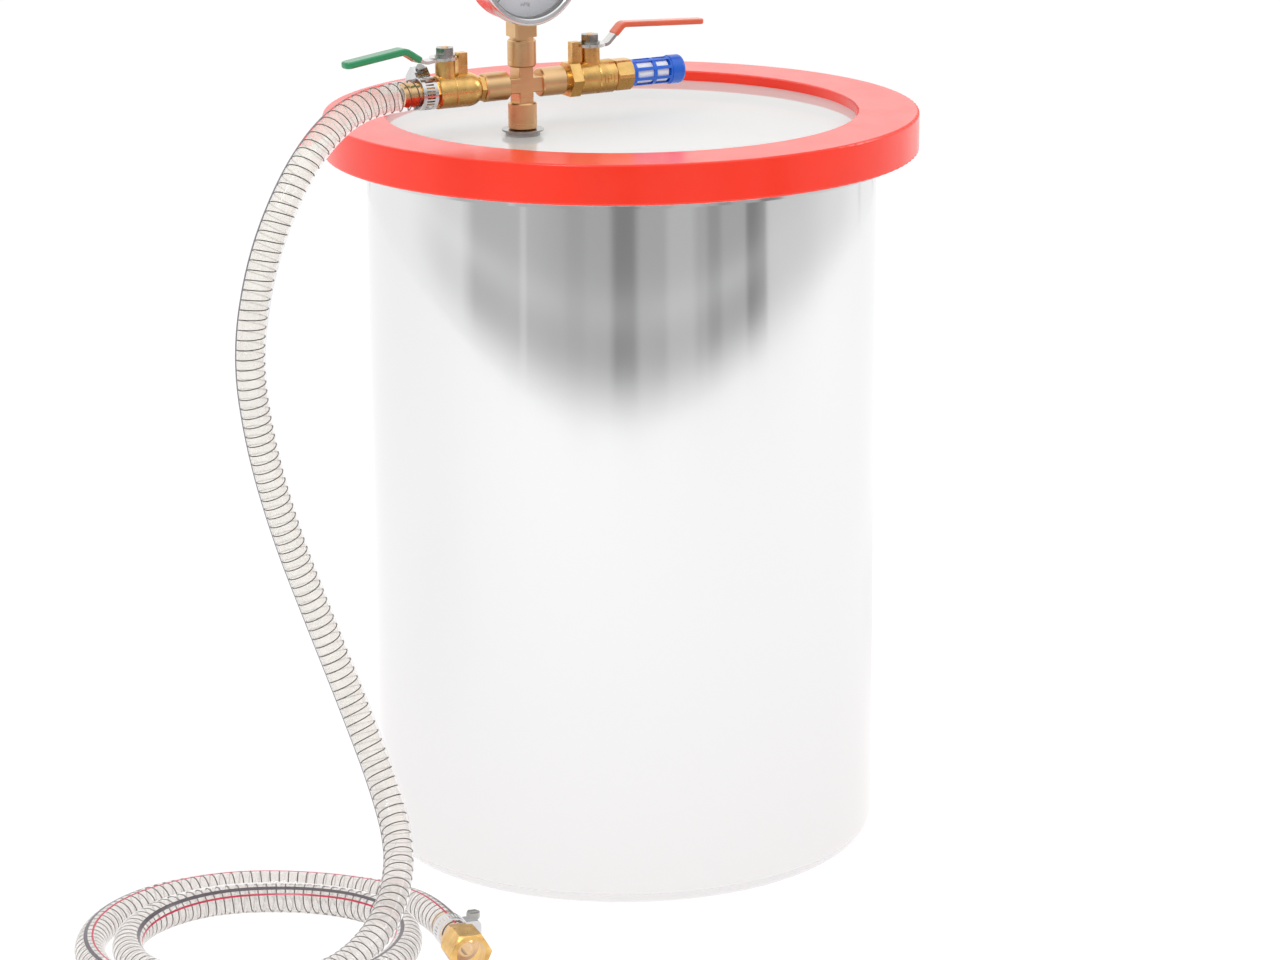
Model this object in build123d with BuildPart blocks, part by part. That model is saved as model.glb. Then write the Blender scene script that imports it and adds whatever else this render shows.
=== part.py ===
from build123d import *
import math
import os

# Vacuum degassing chamber: a deep steel pot, a clear lid in a silicone gasket, a brass manifold
# with two ball valves, a vacuum gauge and an air filter, and a wire-reinforced suction hose.
# The origin is the centre of the pot's base on the floor. +Z is up, +X runs along the manifold
# from the hose end to the filter end, and the gauge faces -Y. Lengths are in millimetres.

# Pot and lid
POT_RADIUS = 150.0
POT_WALL = 1.5
POT_CORNER = 12.0
RIM_RADIUS = 166.0
RIM_TOP = 420.0
RIM_LIP = 3.5
LID_RADIUS = 170.0
LID_THICKNESS = 13.0
GASKET_RADIUS = 175.0
GASKET_OPENING = 139.0
GASKET_BOTTOM_LIP = 4.0
GASKET_TOP_LIP = 6.0
GASKET_FOOT_OPENING = 143.0
LID_BOTTOM = RIM_TOP + GASKET_BOTTOM_LIP
LID_TOP = LID_BOTTOM + LID_THICKNESS
GASKET_TOP = LID_TOP + GASKET_TOP_LIP

# Manifold: a brass cross on a bulkhead tube, with one valve each side
MANIFOLD_X = -73.0
MANIFOLD_Y = -15.0
RUN_Z = 466.5
ARM_LENGTH = 26.0
COLLAR_START = 10.4
COLLAR_RADIUS = 8.3
BAR_WIDTH = 9.0
BAR_DEPTH = 12.0
THREAD_RADIUS = 6.6
SOCKET_DEPTH = 12.0
FIT = 0.05
FLOW_RADIUS = 3.0

# Ball valves; u is the distance from the manifold's axis, outwards along the run
STEM_RADIUS = 3.0
BOSS_RADIUS = 5.75
BOSS_TOP = 484.4
LUG_NEAR = 7.4
LUG_FAR = 13.0
LUG_WIDTH = 5.2
LUG_TOP = 488.0
PLATE_BOTTOM = 484.7
PLATE_THICKNESS = 1.8
PLATE_MIDDLE = PLATE_BOTTOM + PLATE_THICKNESS / 2
PLATE_RADIUS = 6.9
EAR_RADIUS = 9.0
NUT_FLATS = 9.6
STEM_TOP = 492.2
BALL_GAP = 0.25

# Pressure gauge
GAUGE_Z = 533.0
CASE_RADIUS = 30.2
BEZEL_RADIUS = 31.5
TUBE_BEND_RADIUS = 21.0
GEAR_MODULE = 0.3
PINION_TEETH = 12
SECTOR_TEETH = 72
PRESSURE_ANGLE = 25.0
PIVOT_DROP = GEAR_MODULE * (PINION_TEETH + SECTOR_TEETH) / 2 + 0.05

# Suction hose
HOSE_RADIUS = 8.75
HOSE_BORE = 6.25
BARB_RADIUS = 6.15
COIL_X = -291.7
COIL_Y = -88.4
COIL_INNER = 68.0
COIL_OUTER = 89.0
FITTING_Z = 13.0

# Route of the hanging hose, from the lid's barb to where it lies on the floor
HANGING = [
    (-130.5, -15, 466.5), (-158, -15, 466.5), (-184, -18, 461), (-207, -24, 446.5),
    (-229, -30, 421), (-248, -33, 382), (-258, -34, 332), (-251, -33, 279),
    (-237, -33, 226), (-220, -37, 175), (-205, -47, 125), (-196, -67, 80),
    (-198, -92, 50), (-213, -116, 31), (-235, -136, 17), (-263.5, -151.6, HOSE_RADIUS),
]
# Route of the hose's last stretch, from the coil to the pump fitting
TAIL = [
    (-237, -18.5, HOSE_RADIUS), (-209, -42, 9), (-191, -74, 10.5),
    (-186, -112, FITTING_Z), (-192.5, -151, FITTING_Z),
]
LIFTED_POINTS = 13

BOTTOM = (Align.CENTER, Align.CENTER, Align.MIN)
RUN_AXIS = Axis((MANIFOLD_X, MANIFOLD_Y, RUN_Z), (1, 0, 0))

os.makedirs("parts", exist_ok=True)


def level(z):
    """Horizontal plane on the manifold's vertical axis."""
    return Plane(origin=(MANIFOLD_X, MANIFOLD_Y, z))


def facing_out(side, u):
    """Plane across the run at u, facing away from the cross."""
    origin = (MANIFOLD_X + side * u, MANIFOLD_Y, RUN_Z)
    return Plane(origin=origin, x_dir=(0, side, 0), z_dir=(side, 0, 0))


def run_section(side):
    """Upright plane through the run: x is u, y is the radius."""
    return Plane(origin=(MANIFOLD_X, MANIFOLD_Y, RUN_Z), x_dir=(side, 0, 0), z_dir=(0, -side, 0))


def stem_plane(side, stem_u, z, turn=0.0):
    """Horizontal plane on a valve's stem, with x along its lever."""
    heading = (side * math.cos(math.radians(turn)), side * math.sin(math.radians(turn)), 0)
    return Plane(origin=(MANIFOLD_X + side * stem_u, MANIFOLD_Y, z), x_dir=heading, z_dir=(0, 0, 1))


def lever_section(side, stem_u, turn):
    """Upright plane along a lever: x is the distance from the stem, y is the height."""
    c = side * math.cos(math.radians(turn))
    s = side * math.sin(math.radians(turn))
    return Plane(origin=(MANIFOLD_X + side * stem_u, MANIFOLD_Y, 0), x_dir=(c, s, 0), z_dir=(s, -c, 0))


def disc(plane, radius, length, mode=Mode.ADD):
    """Cylinder that stands on a plane."""
    with Locations(plane):
        Cylinder(radius, length, align=BOTTOM, mode=mode)


def hex_bar(plane, flats, length, mode=Mode.ADD):
    """Hexagonal prism that stands on a plane, with two flats level."""
    with BuildSketch(plane) as outline:
        RegularPolygon(flats / 2, 6, major_radius=False)
    extrude(outline.sketch, amount=length, mode=mode)


def turned(plane, points, axis, mode=Mode.ADD):
    """Solid of revolution of a closed outline."""
    with BuildSketch(plane) as outline:
        with BuildLine():
            Polyline(*points, close=True)
        make_face()
    revolve(outline.sketch, axis=axis, mode=mode)


def washer(plane, outer, inner, thickness):
    """Flat ring, returned as a finished part."""
    with BuildPart() as ring:
        disc(plane, outer, thickness)
        disc(plane, inner, thickness, mode=Mode.SUBTRACT)
    return ring


# --- Pot -----------------------------------------------------------------------------------

with BuildPart() as pot_body:
    with BuildSketch(Plane.XZ) as pot_section:
        with BuildLine() as pot_line:
            FilletPolyline(
                (0, POT_WALL / 2),
                (POT_RADIUS - POT_WALL / 2, POT_WALL / 2),
                (POT_RADIUS - POT_WALL / 2, RIM_TOP - POT_WALL / 2),
                (RIM_RADIUS - POT_WALL / 2, RIM_TOP - POT_WALL / 2),
                (RIM_RADIUS - POT_WALL / 2, RIM_TOP - RIM_LIP),
                radius=[POT_CORNER, 2.5, 1.2],
            )
        trace(line_width=POT_WALL)
    revolve(axis=Axis.Z)
pot_body.part.label = "pot_body"
export_step(pot_body.part, "parts/pot_body.step")

# --- Lid and gasket ------------------------------------------------------------------------

with BuildPart() as lid_disc:
    with Locations((0, 0, LID_BOTTOM)):
        Cylinder(LID_RADIUS - FIT, LID_THICKNESS, align=BOTTOM)
    chamfer(lid_disc.edges().filter_by(GeomType.CIRCLE), 0.8)
    disc(level(LID_BOTTOM), THREAD_RADIUS + 0.4, LID_THICKNESS, mode=Mode.SUBTRACT)
lid_disc.part.label = "lid_disc"
export_step(lid_disc.part, "parts/lid_disc.step")

with BuildPart() as gasket_ring:
    with BuildSketch(Plane.XZ):
        with BuildLine():
            Polyline(
                (GASKET_FOOT_OPENING, RIM_TOP), (GASKET_RADIUS, RIM_TOP), (GASKET_RADIUS, GASKET_TOP),
                (GASKET_OPENING, GASKET_TOP), (GASKET_OPENING, LID_TOP), (LID_RADIUS, LID_TOP),
                (LID_RADIUS, LID_BOTTOM), (GASKET_FOOT_OPENING, LID_BOTTOM), close=True,
            )
        gasket_section = make_face()
        outer_corners = gasket_section.vertices().filter_by_position(Axis.X, 174, 176)
        fillet(outer_corners, 1.4)
    revolve(axis=Axis.Z)
    top_rings = gasket_ring.edges().filter_by(GeomType.CIRCLE).group_by(Axis.Z)[-1]
    fillet(top_rings.sort_by(SortBy.RADIUS)[0], 0.9)
gasket_ring.part.label = "gasket_ring"
export_step(gasket_ring.part, "parts/gasket_ring.step")

# --- Bulkhead through the lid --------------------------------------------------------------

SEAL_THICKNESS = 2.5
TOP_SEAL_RADIUS = 10.0
BOTTOM_SEAL_RADIUS = 11.0
TOP_WASHER_RADIUS = 12.0
TOP_WASHER_THICKNESS = 1.0
BOTTOM_WASHER_RADIUS = 13.0
BOTTOM_WASHER_THICKNESS = 1.2
LOCK_NUT_HEIGHT = 6.0
LOCK_NUT_FLATS = 19.0
BULKHEAD_HOLE = THREAD_RADIUS + FIT
LOCK_NUT_BASE = LID_BOTTOM - SEAL_THICKNESS - BOTTOM_WASHER_THICKNESS - LOCK_NUT_HEIGHT
TUBE_BASE = LOCK_NUT_BASE - 2.5
TUBE_END = RUN_Z - ARM_LENGTH + SOCKET_DEPTH

with BuildPart() as bulkhead_tube:
    disc(level(TUBE_BASE), THREAD_RADIUS, TUBE_END - TUBE_BASE)
    chamfer(bulkhead_tube.edges().filter_by(GeomType.CIRCLE), 0.7)
    disc(level(TUBE_BASE), FLOW_RADIUS + 1, TUBE_END - TUBE_BASE, mode=Mode.SUBTRACT)
bulkhead_tube.part.label = "bulkhead_tube"
export_step(bulkhead_tube.part, "parts/bulkhead_tube.step")

top_seal = washer(level(LID_TOP), TOP_SEAL_RADIUS, BULKHEAD_HOLE, SEAL_THICKNESS)
top_seal.part.label = "top_seal"
export_step(top_seal.part, "parts/top_seal.step")

top_washer = washer(level(LID_TOP + SEAL_THICKNESS), TOP_WASHER_RADIUS, BULKHEAD_HOLE, TOP_WASHER_THICKNESS)
top_washer.part.label = "top_washer"
export_step(top_washer.part, "parts/top_washer.step")

bottom_seal = washer(level(LID_BOTTOM - SEAL_THICKNESS), BOTTOM_SEAL_RADIUS, BULKHEAD_HOLE, SEAL_THICKNESS)
bottom_seal.part.label = "bottom_seal"
export_step(bottom_seal.part, "parts/bottom_seal.step")

bottom_washer = washer(level(LOCK_NUT_BASE + LOCK_NUT_HEIGHT), BOTTOM_WASHER_RADIUS, BULKHEAD_HOLE,
                       BOTTOM_WASHER_THICKNESS)
bottom_washer.part.label = "bottom_washer"
export_step(bottom_washer.part, "parts/bottom_washer.step")

with BuildPart() as lock_nut:
    hex_bar(level(LOCK_NUT_BASE), LOCK_NUT_FLATS, LOCK_NUT_HEIGHT)
    disc(level(LOCK_NUT_BASE), BULKHEAD_HOLE, LOCK_NUT_HEIGHT, mode=Mode.SUBTRACT)
    chamfer(lock_nut.edges().filter_by(GeomType.CIRCLE), 0.5)
lock_nut.part.label = "lock_nut"
export_step(lock_nut.part, "parts/lock_nut.step")

# --- Brass cross ---------------------------------------------------------------------------

ARMS = [
    facing_out(1, 0),
    facing_out(-1, 0),
    Plane(origin=(MANIFOLD_X, MANIFOLD_Y, RUN_Z), z_dir=(0, 0, 1)),
    Plane(origin=(MANIFOLD_X, MANIFOLD_Y, RUN_Z), z_dir=(0, 0, -1)),
]

with BuildPart() as collar:
    Cylinder(COLLAR_RADIUS, ARM_LENGTH - COLLAR_START, align=BOTTOM)
    chamfer(collar.edges().filter_by(GeomType.CIRCLE), 0.8)

with BuildPart() as cross_fitting:
    with Locations((MANIFOLD_X, MANIFOLD_Y, RUN_Z)):
        Box(2 * COLLAR_START + 2, BAR_DEPTH, BAR_WIDTH)
        Box(BAR_WIDTH, BAR_DEPTH, 2 * COLLAR_START + 2)
    fillet(cross_fitting.edges().filter_by_position(Axis.Y, MANIFOLD_Y - BAR_DEPTH / 2 - 0.1,
                                                    MANIFOLD_Y - BAR_DEPTH / 2 + 0.1), 0.9)
    with Locations(*[arm.offset(COLLAR_START) for arm in ARMS]):
        add(collar.part)
    for arm in ARMS:
        disc(arm, FLOW_RADIUS, ARM_LENGTH, mode=Mode.SUBTRACT)
        disc(arm.offset(ARM_LENGTH - SOCKET_DEPTH), BULKHEAD_HOLE, SOCKET_DEPTH, mode=Mode.SUBTRACT)
cross_fitting.part.label = "cross_fitting"
export_step(cross_fitting.part, "parts/cross_fitting.step")

# --- Ball valves ---------------------------------------------------------------------------

VALVES = {
    "vacuum": {
        "side": -1, "stem_u": 49.2, "turn": 8.0, "ball": 4.8, "cavity": 5.8, "bore": 3.0,
        "lever": [(4.0, PLATE_MIDDLE), (15.5, 484.4), (28.5, 492.6), (67.0, 488.4)],
        "bends": [7.0, 7.0], "width": 7.6, "grip_from": (18.5, 486.3), "grip": (9.0, 3.9),
    },
    "vent": {
        "side": 1, "stem_u": 44.4, "turn": 0.0, "ball": 6.2, "cavity": 7.3, "bore": 3.6,
        "lever": [(4.0, PLATE_MIDDLE), (10.0, 484.8), (21.0, 495.8), (73.4, 493.4)],
        "bends": [5.0, 4.0], "width": 7.0, "grip_from": (15.5, 490.3), "grip": (8.0, 3.2),
    },
}
SEAT_NEAR = 0.66
SEAT_FAR = 1.0
PACKING_RADIUS = 4.55
PACKING_BASE = 479.6
PACKING_TOP = 481.6
LUG_BASE = RUN_Z + 6
SLOT_WIDTH = 2.0
SLOT_DEPTH = 2.0
NOTCH_START = 65.0
NOTCH_END = 205.0
SCREWED_STEM_RADIUS = STEM_RADIUS - 0.6
FLANGE_RADIUS = 5.8
FLANGE_THICKNESS = 1.0
NUT_HEIGHT = 4.2


def finish_valve_body(side, stem_u, bore, first_u):
    """Adds the stem boss and the lever stop to a valve body, then opens its passages."""
    disc(stem_plane(side, stem_u, RUN_Z), BOSS_RADIUS, BOSS_TOP - RUN_Z)
    with Locations(stem_plane(side, stem_u, LUG_BASE)):
        with Locations((-(LUG_NEAR + LUG_FAR) / 2, 0)):
            Box(LUG_FAR - LUG_NEAR, LUG_WIDTH, LUG_TOP - LUG_BASE, align=BOTTOM)
    disc(facing_out(side, first_u), bore, stem_u - first_u, mode=Mode.SUBTRACT)
    disc(stem_plane(side, stem_u, RUN_Z), STEM_RADIUS + FIT, 40, mode=Mode.SUBTRACT)
    disc(stem_plane(side, stem_u, PACKING_BASE), PACKING_RADIUS + FIT, 20, mode=Mode.SUBTRACT)


SCREWED_START = 14.5
THREAD_LEAD = 0.7
BARREL_RADIUS = 9.75
VACUUM_BARREL_START = 29.0
VACUUM_BARREL_END = 55.6
VACUUM_SEAT_START = 44.4
VACUUM_SEAT_END = 54.0
VACUUM_GROOVE = 46.0
TAPER_RADIUS = 7.2
TAPER_MIDDLE = (31.6, 8.9)
TAPER_END = 37.0
INSERT_FLATS = 13.4
INSERT_NECK_RADIUS = 5.0
BARB_NECK_RADIUS = 6.0

with BuildPart() as vacuum_valve_body:
    with BuildSketch(run_section(-1)) as barrel_outline:
        with BuildLine():
            Polyline((VACUUM_BARREL_START, 0), (VACUUM_BARREL_START, TAPER_RADIUS))
            ThreePointArc((VACUUM_BARREL_START, TAPER_RADIUS), TAPER_MIDDLE, (TAPER_END, BARREL_RADIUS))
            Polyline(
                (TAPER_END, BARREL_RADIUS), (VACUUM_GROOVE - 0.4, BARREL_RADIUS),
                (VACUUM_GROOVE, BARREL_RADIUS - 0.35), (VACUUM_GROOVE + 0.4, BARREL_RADIUS),
                (VACUUM_BARREL_END - 0.8, BARREL_RADIUS), (VACUUM_BARREL_END, BARREL_RADIUS - 0.8),
                (VACUUM_BARREL_END, 0), (VACUUM_BARREL_START, 0),
            )
        make_face()
    revolve(axis=RUN_AXIS)
    finish_valve_body(-1, VALVES["vacuum"]["stem_u"], VALVES["vacuum"]["bore"], VACUUM_BARREL_START)
    disc(facing_out(-1, VACUUM_BARREL_START), VALVES["vacuum"]["cavity"] + FIT,
         VACUUM_SEAT_END - VACUUM_BARREL_START, mode=Mode.SUBTRACT)
    disc(facing_out(-1, VACUUM_SEAT_END), BARB_NECK_RADIUS + FIT, 5, mode=Mode.SUBTRACT)
vacuum_valve_body.part.label = "vacuum_valve_body"
export_step(vacuum_valve_body.part, "parts/vacuum_valve_body.step")

VENT_HEX_START = 28.4
VENT_BARREL_START = 35.0
VENT_BARREL_END = 58.8
VENT_END = 69.4
VENT_SEAT_START = 38.2
VENT_SEAT_END = 50.6
VENT_GROOVE = 46.9
VENT_HEX_FLATS = 19.0
VENT_HEX_RADIUS = 9.0
VENT_CAP_FLATS = 17.5
VENT_CAP_RADIUS = 9.6
FILTER_SOCKET_START = VENT_BARREL_END + 1.6

with BuildPart() as vent_valve_body:
    turned(run_section(1), [
        (SCREWED_START, 0), (SCREWED_START, THREAD_RADIUS - THREAD_LEAD),
        (SCREWED_START + THREAD_LEAD, THREAD_RADIUS), (VENT_HEX_START + 1, THREAD_RADIUS),
        (VENT_HEX_START + 1, VENT_HEX_RADIUS), (VENT_BARREL_START, VENT_HEX_RADIUS),
        (VENT_BARREL_START, BARREL_RADIUS - 0.8), (VENT_BARREL_START + 0.8, BARREL_RADIUS),
        (VENT_GROOVE - 0.6, BARREL_RADIUS), (VENT_GROOVE, BARREL_RADIUS - 0.5),
        (VENT_GROOVE + 0.6, BARREL_RADIUS), (VENT_BARREL_END - 1.2, BARREL_RADIUS),
        (VENT_BARREL_END, BARREL_RADIUS - 1.2), (VENT_BARREL_END, 0),
    ], RUN_AXIS)
    hex_bar(facing_out(1, VENT_HEX_START), VENT_HEX_FLATS, VENT_BARREL_START - VENT_HEX_START)
    finish_valve_body(1, VALVES["vent"]["stem_u"], VALVES["vent"]["bore"], SCREWED_START - 0.5)
    disc(facing_out(1, VENT_SEAT_START), VALVES["vent"]["cavity"] + FIT, 30, mode=Mode.SUBTRACT)
vent_valve_body.part.label = "vent_valve_body"
export_step(vent_valve_body.part, "parts/vent_valve_body.step")

with BuildPart() as vacuum_valve_end:
    turned(run_section(-1), [
        (SCREWED_START, 0), (SCREWED_START, THREAD_RADIUS - THREAD_LEAD),
        (SCREWED_START + THREAD_LEAD, THREAD_RADIUS), (ARM_LENGTH + 0.4, THREAD_RADIUS),
        (ARM_LENGTH + 0.4, INSERT_NECK_RADIUS), (VACUUM_BARREL_START, INSERT_NECK_RADIUS),
        (VACUUM_BARREL_START, VALVES["vacuum"]["cavity"]),
        (VACUUM_SEAT_START, VALVES["vacuum"]["cavity"]), (VACUUM_SEAT_START, 0),
    ], RUN_AXIS)
    hex_bar(facing_out(-1, ARM_LENGTH + 0.2), INSERT_FLATS, VACUUM_BARREL_START - ARM_LENGTH - 0.2)
    disc(facing_out(-1, SCREWED_START - 0.5), FLOW_RADIUS, 40, mode=Mode.SUBTRACT)
vacuum_valve_end.part.label = "vacuum_valve_end"
export_step(vacuum_valve_end.part, "parts/vacuum_valve_end.step")

with BuildPart() as vent_valve_end:
    disc(facing_out(1, VENT_SEAT_END), VALVES["vent"]["cavity"], VENT_BARREL_END - VENT_SEAT_END)
    hex_bar(facing_out(1, VENT_BARREL_END), VENT_CAP_FLATS, VENT_END - VENT_BARREL_END)
    turned(run_section(1), [
        (VENT_SEAT_END - 1, 0), (VENT_SEAT_END - 1, VENT_CAP_RADIUS + 1),
        (VENT_BARREL_END, VENT_CAP_RADIUS + 1), (VENT_BARREL_END, VENT_CAP_RADIUS - 0.6),
        (VENT_BARREL_END + 0.7, VENT_CAP_RADIUS), (VENT_END - 0.7, VENT_CAP_RADIUS),
        (VENT_END, VENT_CAP_RADIUS - 0.6), (VENT_END, 0),
    ], RUN_AXIS, mode=Mode.INTERSECT)
    disc(facing_out(1, VENT_SEAT_END - 0.6), FLOW_RADIUS + 0.6, 40, mode=Mode.SUBTRACT)
    disc(facing_out(1, FILTER_SOCKET_START), BULKHEAD_HOLE, 20, mode=Mode.SUBTRACT)
vent_valve_end.part.label = "vent_valve_end"
export_step(vent_valve_end.part, "parts/vent_valve_end.step")

for name, valve in VALVES.items():
    side, stem_u, turn, ball = valve["side"], valve["stem_u"], valve["turn"], valve["ball"]
    centre = stem_plane(side, stem_u, RUN_Z)
    lever_centre = stem_plane(side, stem_u, RUN_Z, turn)

    near, far = SEAT_NEAR * ball, SEAT_FAR * ball
    cup = ball + BALL_GAP
    cup_angles = [math.acos(near / cup), math.asin(valve["bore"] / cup)]
    cup_angles.insert(1, sum(cup_angles) / 2)
    with BuildPart() as seats:
        for way in (1, -1):
            with BuildSketch(run_section(side)) as seat_outline:
                with BuildLine():
                    cup_arc = [(stem_u + way * cup * math.cos(a), cup * math.sin(a)) for a in cup_angles]
                    ThreePointArc(*cup_arc)
                    Polyline(
                        cup_arc[2],
                        (stem_u + way * far, valve["bore"]),
                        (stem_u + way * far, valve["cavity"]),
                        (stem_u + way * near, valve["cavity"]),
                        cup_arc[0],
                    )
                make_face()
            revolve(seat_outline.sketch, axis=RUN_AXIS)
    seats.part.label = f"{name}_valve_seats"
    export_step(seats.part, f"parts/{name}_valve_seats.step")

    with BuildPart() as ball_part:
        with Locations(lever_centre):
            Sphere(ball)
            Cylinder(valve["bore"], 3 * ball, rotation=(0, 90, 0), mode=Mode.SUBTRACT)
            with Locations((0, 0, ball)):
                Box(ball, SLOT_WIDTH, 2 * SLOT_DEPTH, mode=Mode.SUBTRACT)
    ball_part.part.label = f"{name}_valve_ball"
    export_step(ball_part.part, f"parts/{name}_valve_ball.step")

    with BuildPart() as stem:
        stem_base = RUN_Z + ball + 0.2
        disc(stem_plane(side, stem_u, stem_base), STEM_RADIUS, PLATE_BOTTOM - stem_base)
        disc(stem_plane(side, stem_u, PLATE_BOTTOM), SCREWED_STEM_RADIUS, STEM_TOP - PLATE_BOTTOM)
        with Locations(stem_plane(side, stem_u, RUN_Z + ball - SLOT_DEPTH + 0.2, turn)):
            Box(0.55 * ball, SLOT_WIDTH - 0.2, SLOT_DEPTH + 0.5, align=BOTTOM)
        chamfer(stem.faces().sort_by(Axis.Z)[-1].edges(), 0.5)
    stem.part.label = f"{name}_valve_stem"
    export_step(stem.part, f"parts/{name}_valve_stem.step")

    packing = washer(stem_plane(side, stem_u, PACKING_BASE), PACKING_RADIUS, STEM_RADIUS + FIT,
                     PACKING_TOP - PACKING_BASE)
    packing.part.label = f"{name}_stem_packing"
    export_step(packing.part, f"parts/{name}_stem_packing.step")

    gland = washer(stem_plane(side, stem_u, PACKING_TOP), PACKING_RADIUS, STEM_RADIUS + FIT,
                   BOSS_TOP - PACKING_TOP)
    gland.part.label = f"{name}_packing_gland"
    export_step(gland.part, f"parts/{name}_packing_gland.step")

    with BuildPart() as arm_part:
        with BuildSketch(stem_plane(side, stem_u, PLATE_BOTTOM, turn)):
            Circle(EAR_RADIUS)
            with BuildLine():
                notch = [math.radians(NOTCH_START + (NOTCH_END - NOTCH_START) * i / 4) for i in range(5)]
                Polyline((0, 0), *[(20 * math.cos(a), 20 * math.sin(a)) for a in notch], close=True)
            make_face(mode=Mode.SUBTRACT)
            Circle(PLATE_RADIUS)
        extrude(amount=PLATE_THICKNESS)
        with BuildSketch(lever_section(side, stem_u, turn)) as strip_outline:
            with BuildLine():
                FilletPolyline(*valve["lever"], radius=valve["bends"])
            trace(line_width=PLATE_THICKNESS)
        extrude(amount=valve["width"] / 2, both=True)
        disc(stem_plane(side, stem_u, PLATE_BOTTOM - 5), SCREWED_STEM_RADIUS, 15, mode=Mode.SUBTRACT)
    arm_part.part.label = f"{name}_lever_arm"
    export_step(arm_part.part, f"parts/{name}_lever_arm.step")

    tip = Vector(*valve["lever"][-1])
    slope = (tip - Vector(*valve["lever"][-2])).normalized()
    grip_end = tip + slope * 1.6
    grip_width, grip_thickness = valve["grip"]
    with BuildPart() as grip:
        with BuildSketch(lever_section(side, stem_u, turn)):
            with BuildLine():
                FilletPolyline(valve["grip_from"], valve["lever"][-2], (grip_end.X, grip_end.Y),
                               radius=valve["bends"][-1])
            trace(line_width=grip_thickness)
        extrude(amount=grip_width / 2, both=True)
        lines = grip.edges().filter_by(GeomType.LINE)
        farthest = lines.sort_by(lambda e: -e.center().sub(centre.origin).length)[:8]
        tip_corners = [e for e in farthest if abs(e.length - grip_thickness) < 0.1]
        fillet(tip_corners, 0.4 * grip_width)
        fillet(grip.edges().filter_by(lambda e: e.length > 0), 0.3 * grip_thickness)
        extrude(strip_outline.sketch, amount=valve["width"] / 2, both=True, mode=Mode.SUBTRACT)
    grip.part.label = f"{name}_lever_grip"
    export_step(grip.part, f"parts/{name}_lever_grip.step")

    with BuildPart() as lever_nut:
        nut_base = stem_plane(side, stem_u, PLATE_BOTTOM + PLATE_THICKNESS)
        disc(nut_base, FLANGE_RADIUS, FLANGE_THICKNESS)
        hex_bar(nut_base.offset(FLANGE_THICKNESS), NUT_FLATS, NUT_HEIGHT)
        disc(nut_base, SCREWED_STEM_RADIUS, 10, mode=Mode.SUBTRACT)
    lever_nut.part.label = f"{name}_lever_nut"
    export_step(lever_nut.part, f"parts/{name}_lever_nut.step")

# --- Air filter on the vent valve ----------------------------------------------------------

CAGE_RADIUS = 7.9
CAGE_BORE = 6.6
CAGE_END = 95.6
CAGE_FLOOR = VENT_END + 1.6
ELEMENT_BORE = 4.0
ELEMENT_LENGTH = 22.4
CAP_SPIGOT = 1.6
CAP_END = 104.3
WINDOW_COUNT = 8
WINDOW_WIDTH = 4.2
WINDOW_ROWS = [(72.2, 83.2), (85.0, 94.4)]

with BuildPart() as filter_cage:
    disc(facing_out(1, VENT_BARREL_END + 2), THREAD_RADIUS, VENT_END - VENT_BARREL_END - 2)
    disc(facing_out(1, VENT_END), CAGE_RADIUS, CAGE_END - VENT_END)
    chamfer(filter_cage.faces().sort_by(Axis.X)[0].edges(), 0.5)
    disc(facing_out(1, VENT_BARREL_END), FLOW_RADIUS + 0.6, VENT_END, mode=Mode.SUBTRACT)
    disc(facing_out(1, CAGE_FLOOR), CAGE_BORE, CAGE_END, mode=Mode.SUBTRACT)
    for row_start, row_end in WINDOW_ROWS:
        with Locations(facing_out(1, (row_start + row_end) / 2)):
            with PolarLocations(CAGE_RADIUS, WINDOW_COUNT, start_angle=90):
                Box(6, WINDOW_WIDTH, row_end - row_start, mode=Mode.SUBTRACT)
filter_cage.part.label = "filter_cage"
export_step(filter_cage.part, "parts/filter_cage.step")

filter_element = washer(facing_out(1, CAGE_FLOOR), CAGE_BORE - 0.1, ELEMENT_BORE, ELEMENT_LENGTH)
filter_element.part.label = "filter_element"
export_step(filter_element.part, "parts/filter_element.step")

with BuildPart() as filter_cap:
    disc(facing_out(1, CAGE_END), CAGE_RADIUS + 0.6, CAP_END - CAGE_END)
    fillet(filter_cap.faces().sort_by(Axis.X)[-1].edges(), 2.2)
    fillet(filter_cap.faces().sort_by(Axis.X)[0].edges(), 0.5)
    disc(facing_out(1, CAGE_END - CAP_SPIGOT), CAGE_BORE - FIT, CAP_SPIGOT + 1)
    disc(facing_out(1, CAGE_END - CAP_SPIGOT), CAGE_BORE - 1.6, CAP_SPIGOT + 6, mode=Mode.SUBTRACT)
filter_cap.part.label = "filter_cap"
export_step(filter_cap.part, "parts/filter_cap.step")

# --- Barbs and hose clamps -----------------------------------------------------------------


def barb_outline(start, end, ridges):
    """Points of a row of barbs from start to its tip at end, each rising back towards start."""
    pitch = (end - start) / ridges
    points = [(start, BARB_RADIUS - 0.9)]
    for ridge in range(ridges):
        points.append((start + ridge * pitch + 0.6, BARB_RADIUS))
        points.append((start + (ridge + 1) * pitch, BARB_RADIUS - 0.9))
    return points


HOSE_START = 57.5
BARB_TIP = 77.0
BARB_FLATS = 13.0
BARB_RIDGES = 5

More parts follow.
